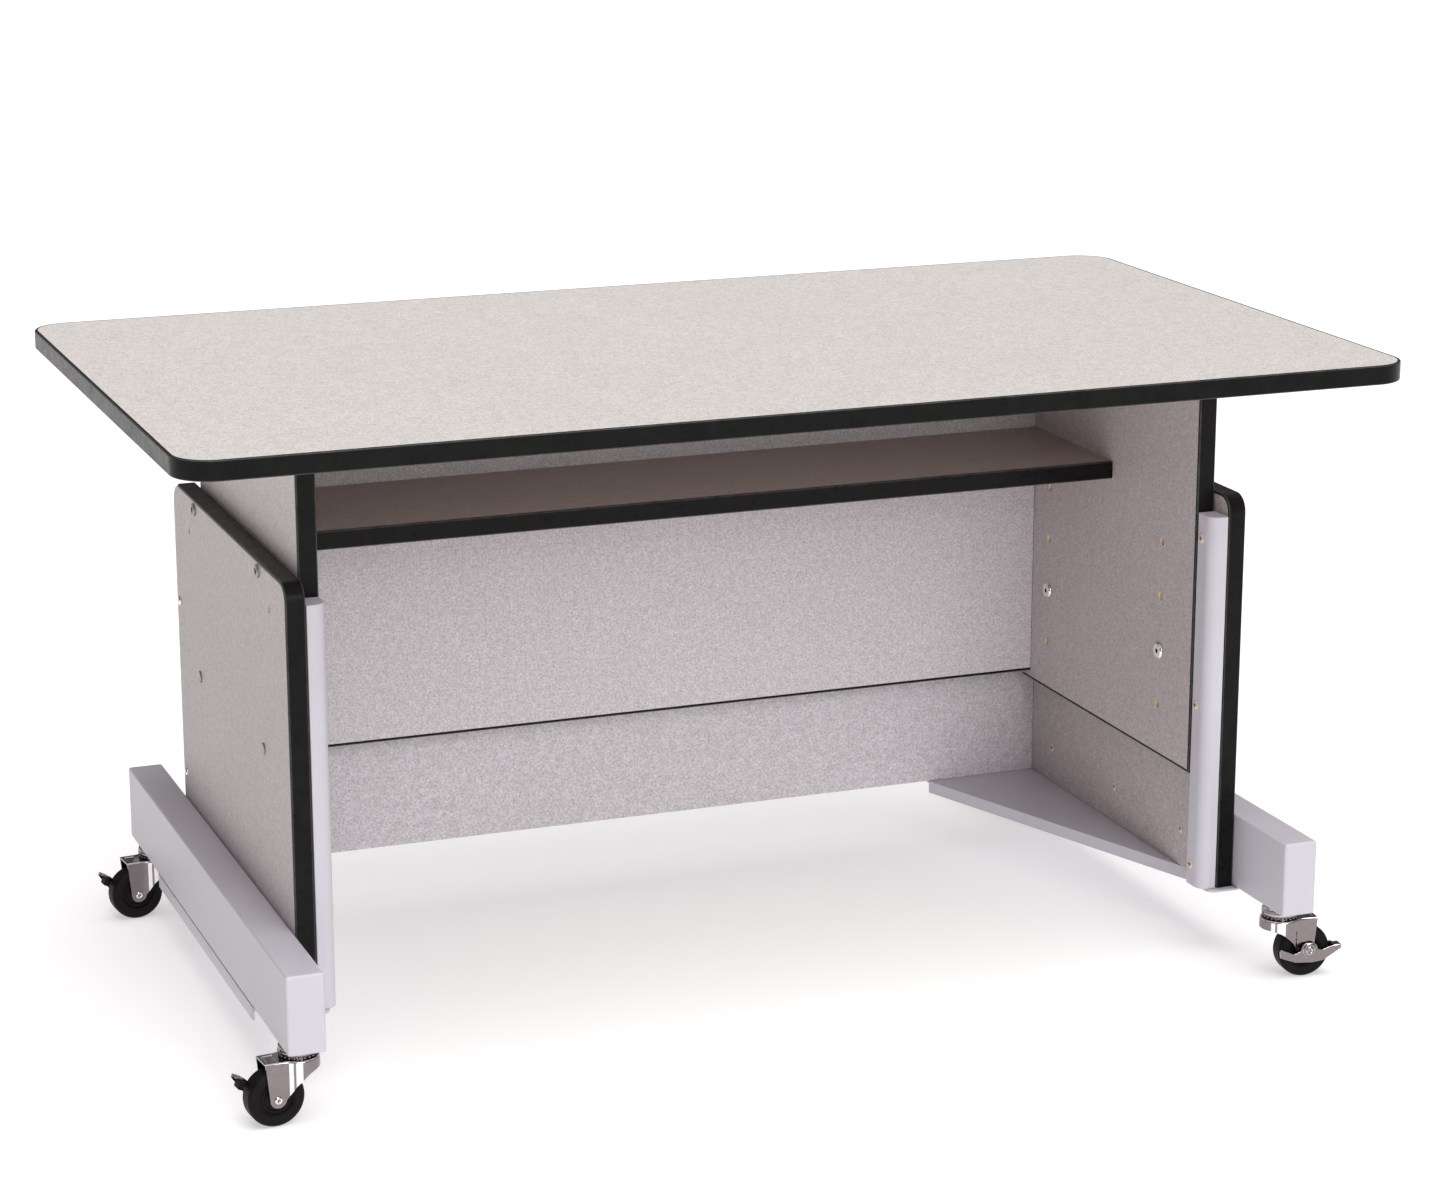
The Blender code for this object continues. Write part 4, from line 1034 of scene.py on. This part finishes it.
def hub_mesh():
    """Moulded hub with a raised rim, a sunk web and a boss round the axle."""
    half = WHEEL_HALF
    outline = rounded_outline(wheel_profile([
        (3.2 * MM, half - 0.2 * MM, 0.0),
        (6.2 * MM, half - 0.2 * MM, 0.5 * MM),
        (6.8 * MM, half - 3.2 * MM, 0.8 * MM),
        (11.4 * MM, half - 3.6 * MM, 0.8 * MM),
        (12.2 * MM, half - 2.3 * MM, 0.5 * MM),
        (14.3 * MM, half - 2.5 * MM, 0.4 * MM),
    ]), 4)
    return lathe_mesh("caster_hub", outline, 72, True)


def lever_outline():
    """Side view (x, z) of the pressed brake lever about its pin."""
    corners = ((-29.6, -8.7, 2.0), (-12.3, -15.1, 6.0), (5.1, -16.4, 10.0), (17.5, -15.0, 8.0),
               (30.0, -7.8, 3.0), (37.0, -3.4, 1.2), (37.0, 0.5, 1.0), (24.5, -0.9, 2.0),
               (17.0, -3.6, 2.0), (11.4, -2.6, 1.5), (9.2, 4.4, 6.0), (-4.6, 4.8, 6.0),
               (-7.5, -3.7, 2.0), (-14.2, -6.3, 3.0), (-30.5, 0.8, 2.0))
    return rounded_outline([(u * MM, v * MM, r * MM) for u, v, r in corners], 6)


def lever_mesh():
    """The lever: a pressed plate with a stepped boss, a dimpled dome, its pin and the foot tab."""
    face, sheet = -BRAKE_FACE, 1.6 * MM
    back = face - sheet
    plate = softened(flat_mesh("lever", [lever_outline()], "y", back, face), 0.45 * MM, 3, 60.0)
    centre = (2.5 * MM, 0.0, -3.2 * MM)
    boss = lathe_mesh("boss", [(0.0, face - 0.4 * MM), (7.6 * MM, face - 0.4 * MM),
                               (7.6 * MM, back - 0.4 * MM), (7.3 * MM, back - 0.9 * MM),
                               (6.6 * MM, back - 1.2 * MM), (0.0, back - 1.2 * MM)],
                      64, axis="y", centre=centre)
    dome = lathe_mesh("dome", [(0.0, face - 0.5 * MM), (4.4 * MM, face - 0.5 * MM),
                               (4.4 * MM, back - 1.6 * MM), (4.0 * MM, back - 2.0 * MM),
                               (3.0 * MM, back - 2.2 * MM), (2.2 * MM, back - 1.9 * MM),
                               (1.4 * MM, back - 1.2 * MM), (0.0, back - 1.0 * MM)],
                      48, axis="y", centre=centre)
    pin = rod_mesh("pin", 2.0 * MM, -12.2 * MM, face - 0.5 * MM, 32, "y")
    tab = softened(box_mesh("tab", (SHOE_START + 0.6 * MM, back + 0.3 * MM, -1.2 * MM),
                            (37.2 * MM, -6.0 * MM, 0.3 * MM)), 0.6 * MM, 3)
    steps = [(part, "UNION") for part in (boss, dome, pin, tab)]
    mesh = combined("brake_lever", plate, steps)
    # Slanted faces, the rounded rims and the dome's flanks, get the bright steel: a painted highlight.
    for polygon in mesh.polygons:
        polygon.material_index = 1 if 0.35 < abs(polygon.normal.y) < 0.85 else 0
    return mesh


def shoe_mesh():
    """The block under the foot tab that presses on the tread."""
    block = box_mesh("brake_shoe", (SHOE_START, -12.0 * MM, -9.0 * MM),
                     (SHOE_START + 5.7 * MM, 0.0, -0.9 * MM))
    return softened(block, 1.2 * MM, 4)


def joint_place(name):
    """The point of a joint of the frame."""
    return Vector(next(joint["pos_m"] for joint in frame["joints"] if joint["name"] == name))


def make_casters(mats):
    cap, balls, axle = cap_mesh(), balls_mesh(), axle_mesh()
    forks = {sign: fork_mesh(highlight_bands) for sign, highlight_bands in NECK_HIGHLIGHT_BANDS.items()}
    tyre, hub, lever, shoe = tyre_mesh(), hub_mesh(), lever_mesh(), shoe_mesh()
    # Chrome, and bright steel as the painted highlight on roundings, neck bands, rivet rings and lever
    # edges.
    chrome_and_painted_highlight = (mats["chrome"], mats["bright"])
    upright = math.pi / 2
    for corner, sign in CORNERS:
        raised = -BRAKE_TRAVEL if sign < 0 else 0.0
        stem = joint_place(f"caster_swivel_{corner}") * Vector((1, 1, 0))
        wheel = joint_place(f"wheel_spin_{corner}")
        rock = joint_place(f"brake_rock_{corner}")
        turn = math.atan2(wheel.y - stem.y, wheel.x - stem.x)
        caster, rolling, brake = f"caster_{corner}", f"wheel_{corner}", f"brake_{corner}"
        piece(f"caster_cap_{corner}", cap, chrome_and_painted_highlight, "lower_unit",
              (f"caster_stem_{corner}",), 35.0, stem)
        piece(f"caster_balls_{corner}", balls, (mats["chrome"],), "lower_unit", (), 80.0, stem)
        piece(f"caster_yoke_{corner}", forks[sign], chrome_and_painted_highlight, caster,
              (f"caster_fork_{corner}",), 40.0, stem, (0.0, 0.0, turn))
        piece(f"caster_rivet_{corner}", axle, chrome_and_painted_highlight, caster,
              (f"caster_axle_{corner}",), 50.0, wheel, (upright, 0.0, turn))
        piece(f"caster_tread_{corner}", tyre, (mats["rubber"],), rolling,
              (f"caster_tyre_{corner}",), 50.0, wheel, (upright, 0.0, turn))
        piece(f"caster_wheel_{corner}", hub, (mats["hub"],), rolling,
              (f"caster_hub_{corner}",), 50.0, wheel, (upright, 0.0, turn))
        piece(f"brake_pedal_{corner}", lever, chrome_and_painted_highlight, brake,
              (f"brake_lever_{corner}",), 40.0, rock, (0.0, raised, turn))
        piece(f"brake_shoe_{corner}", shoe, (mats["rubber"],), brake, (), 50.0, rock,
              (0.0, raised, turn))


# ---------------------------------------------------------------- studio

def make_camera():
    """In front, to the left and above, with a long lens."""
    data = bpy.data.cameras.new("camera")
    data.lens = CAMERA_LENS
    data.sensor_width = CAMERA_SENSOR
    data.shift_x, data.shift_y = CAMERA_SHIFT
    data.clip_end = 4 * FLOOR_REACH
    camera = bpy.data.objects.new("camera", data)
    camera.location = CAMERA_PLACE
    camera.rotation_euler = (math.pi / 2 - CAMERA_PITCH, 0.0, CAMERA_YAW)
    bpy.context.scene.collection.objects.link(camera)
    bpy.context.scene.camera = camera


def make_floor():
    """A pale floor that glows a little, so that it runs into the white and shadows stay light."""
    mat, tree, shader = principled("studio_floor", FLOOR_COLOUR, 0.8, Emission_Strength=FLOOR_GLOW)
    shader.inputs["Emission Color"].default_value = FLOOR_SHINE
    cloud = noise(tree, place_vector(tree), 1.5, 2.0, 0.5)
    tint = ramp(tree, cloud, ((0.3, shade(FLOOR_COLOUR, 0.99)), (0.7, shade(FLOOR_COLOUR, 1.01))))
    wire(tree, shader, Base_Color=tint)
    bm = bmesh.new()
    bmesh.ops.create_grid(bm, x_segments=4, y_segments=4, size=FLOOR_REACH)
    mesh = bpy.data.meshes.new("studio_floor")
    bm.to_mesh(mesh)
    bm.free()
    mesh.materials.append(mat)
    floor = bpy.data.objects.new("studio_floor", mesh)
    bpy.context.scene.collection.objects.link(floor)


def sun(name, direction_from, strength, spread_degrees, colour):
    """A soft distant light that shines from a direction."""
    data = bpy.data.lights.new(name, "SUN")
    data.energy = strength
    data.angle = math.radians(spread_degrees)
    data.color = colour
    light = bpy.data.objects.new(name, data)
    light.rotation_euler = facing_turn(direction_from)
    bpy.context.scene.collection.objects.link(light)


def make_studio():
    """Soft daylight from above and in front, a dim sky that is seen as white, and the floor."""
    scene = bpy.context.scene
    scene.view_settings.view_transform = "Standard"
    world = bpy.data.worlds.new("studio")
    world.use_nodes = True
    tree = world.node_tree
    seen = node(tree, "LightPath").outputs["Is Camera Ray"]
    backdrop = mix(tree, seen, SKY_LIGHT, (1.0, 1.0, 1.0))
    tree.links.new(backdrop, tree.nodes["Background"].inputs["Color"])
    scene.world = world
    for row in SUNS:
        sun(*row)
    make_floor()
    make_camera()


# ---------------------------------------------------------------- the whole desk


def main():
    mats = make_materials()
    make_studio()
    make_top(mats)
    make_back_and_shelf(mats)
    for side, sign in SIDES:
        make_sliding_side(side, mats)
        make_outer_side(side, sign, mats)
        make_post(side, sign, mats)
        make_leg(side, mats)
        make_plate(side, mats)
        make_panel_screws(side, sign, mats)
    make_bolts(mats)
    make_casters(mats)


main()
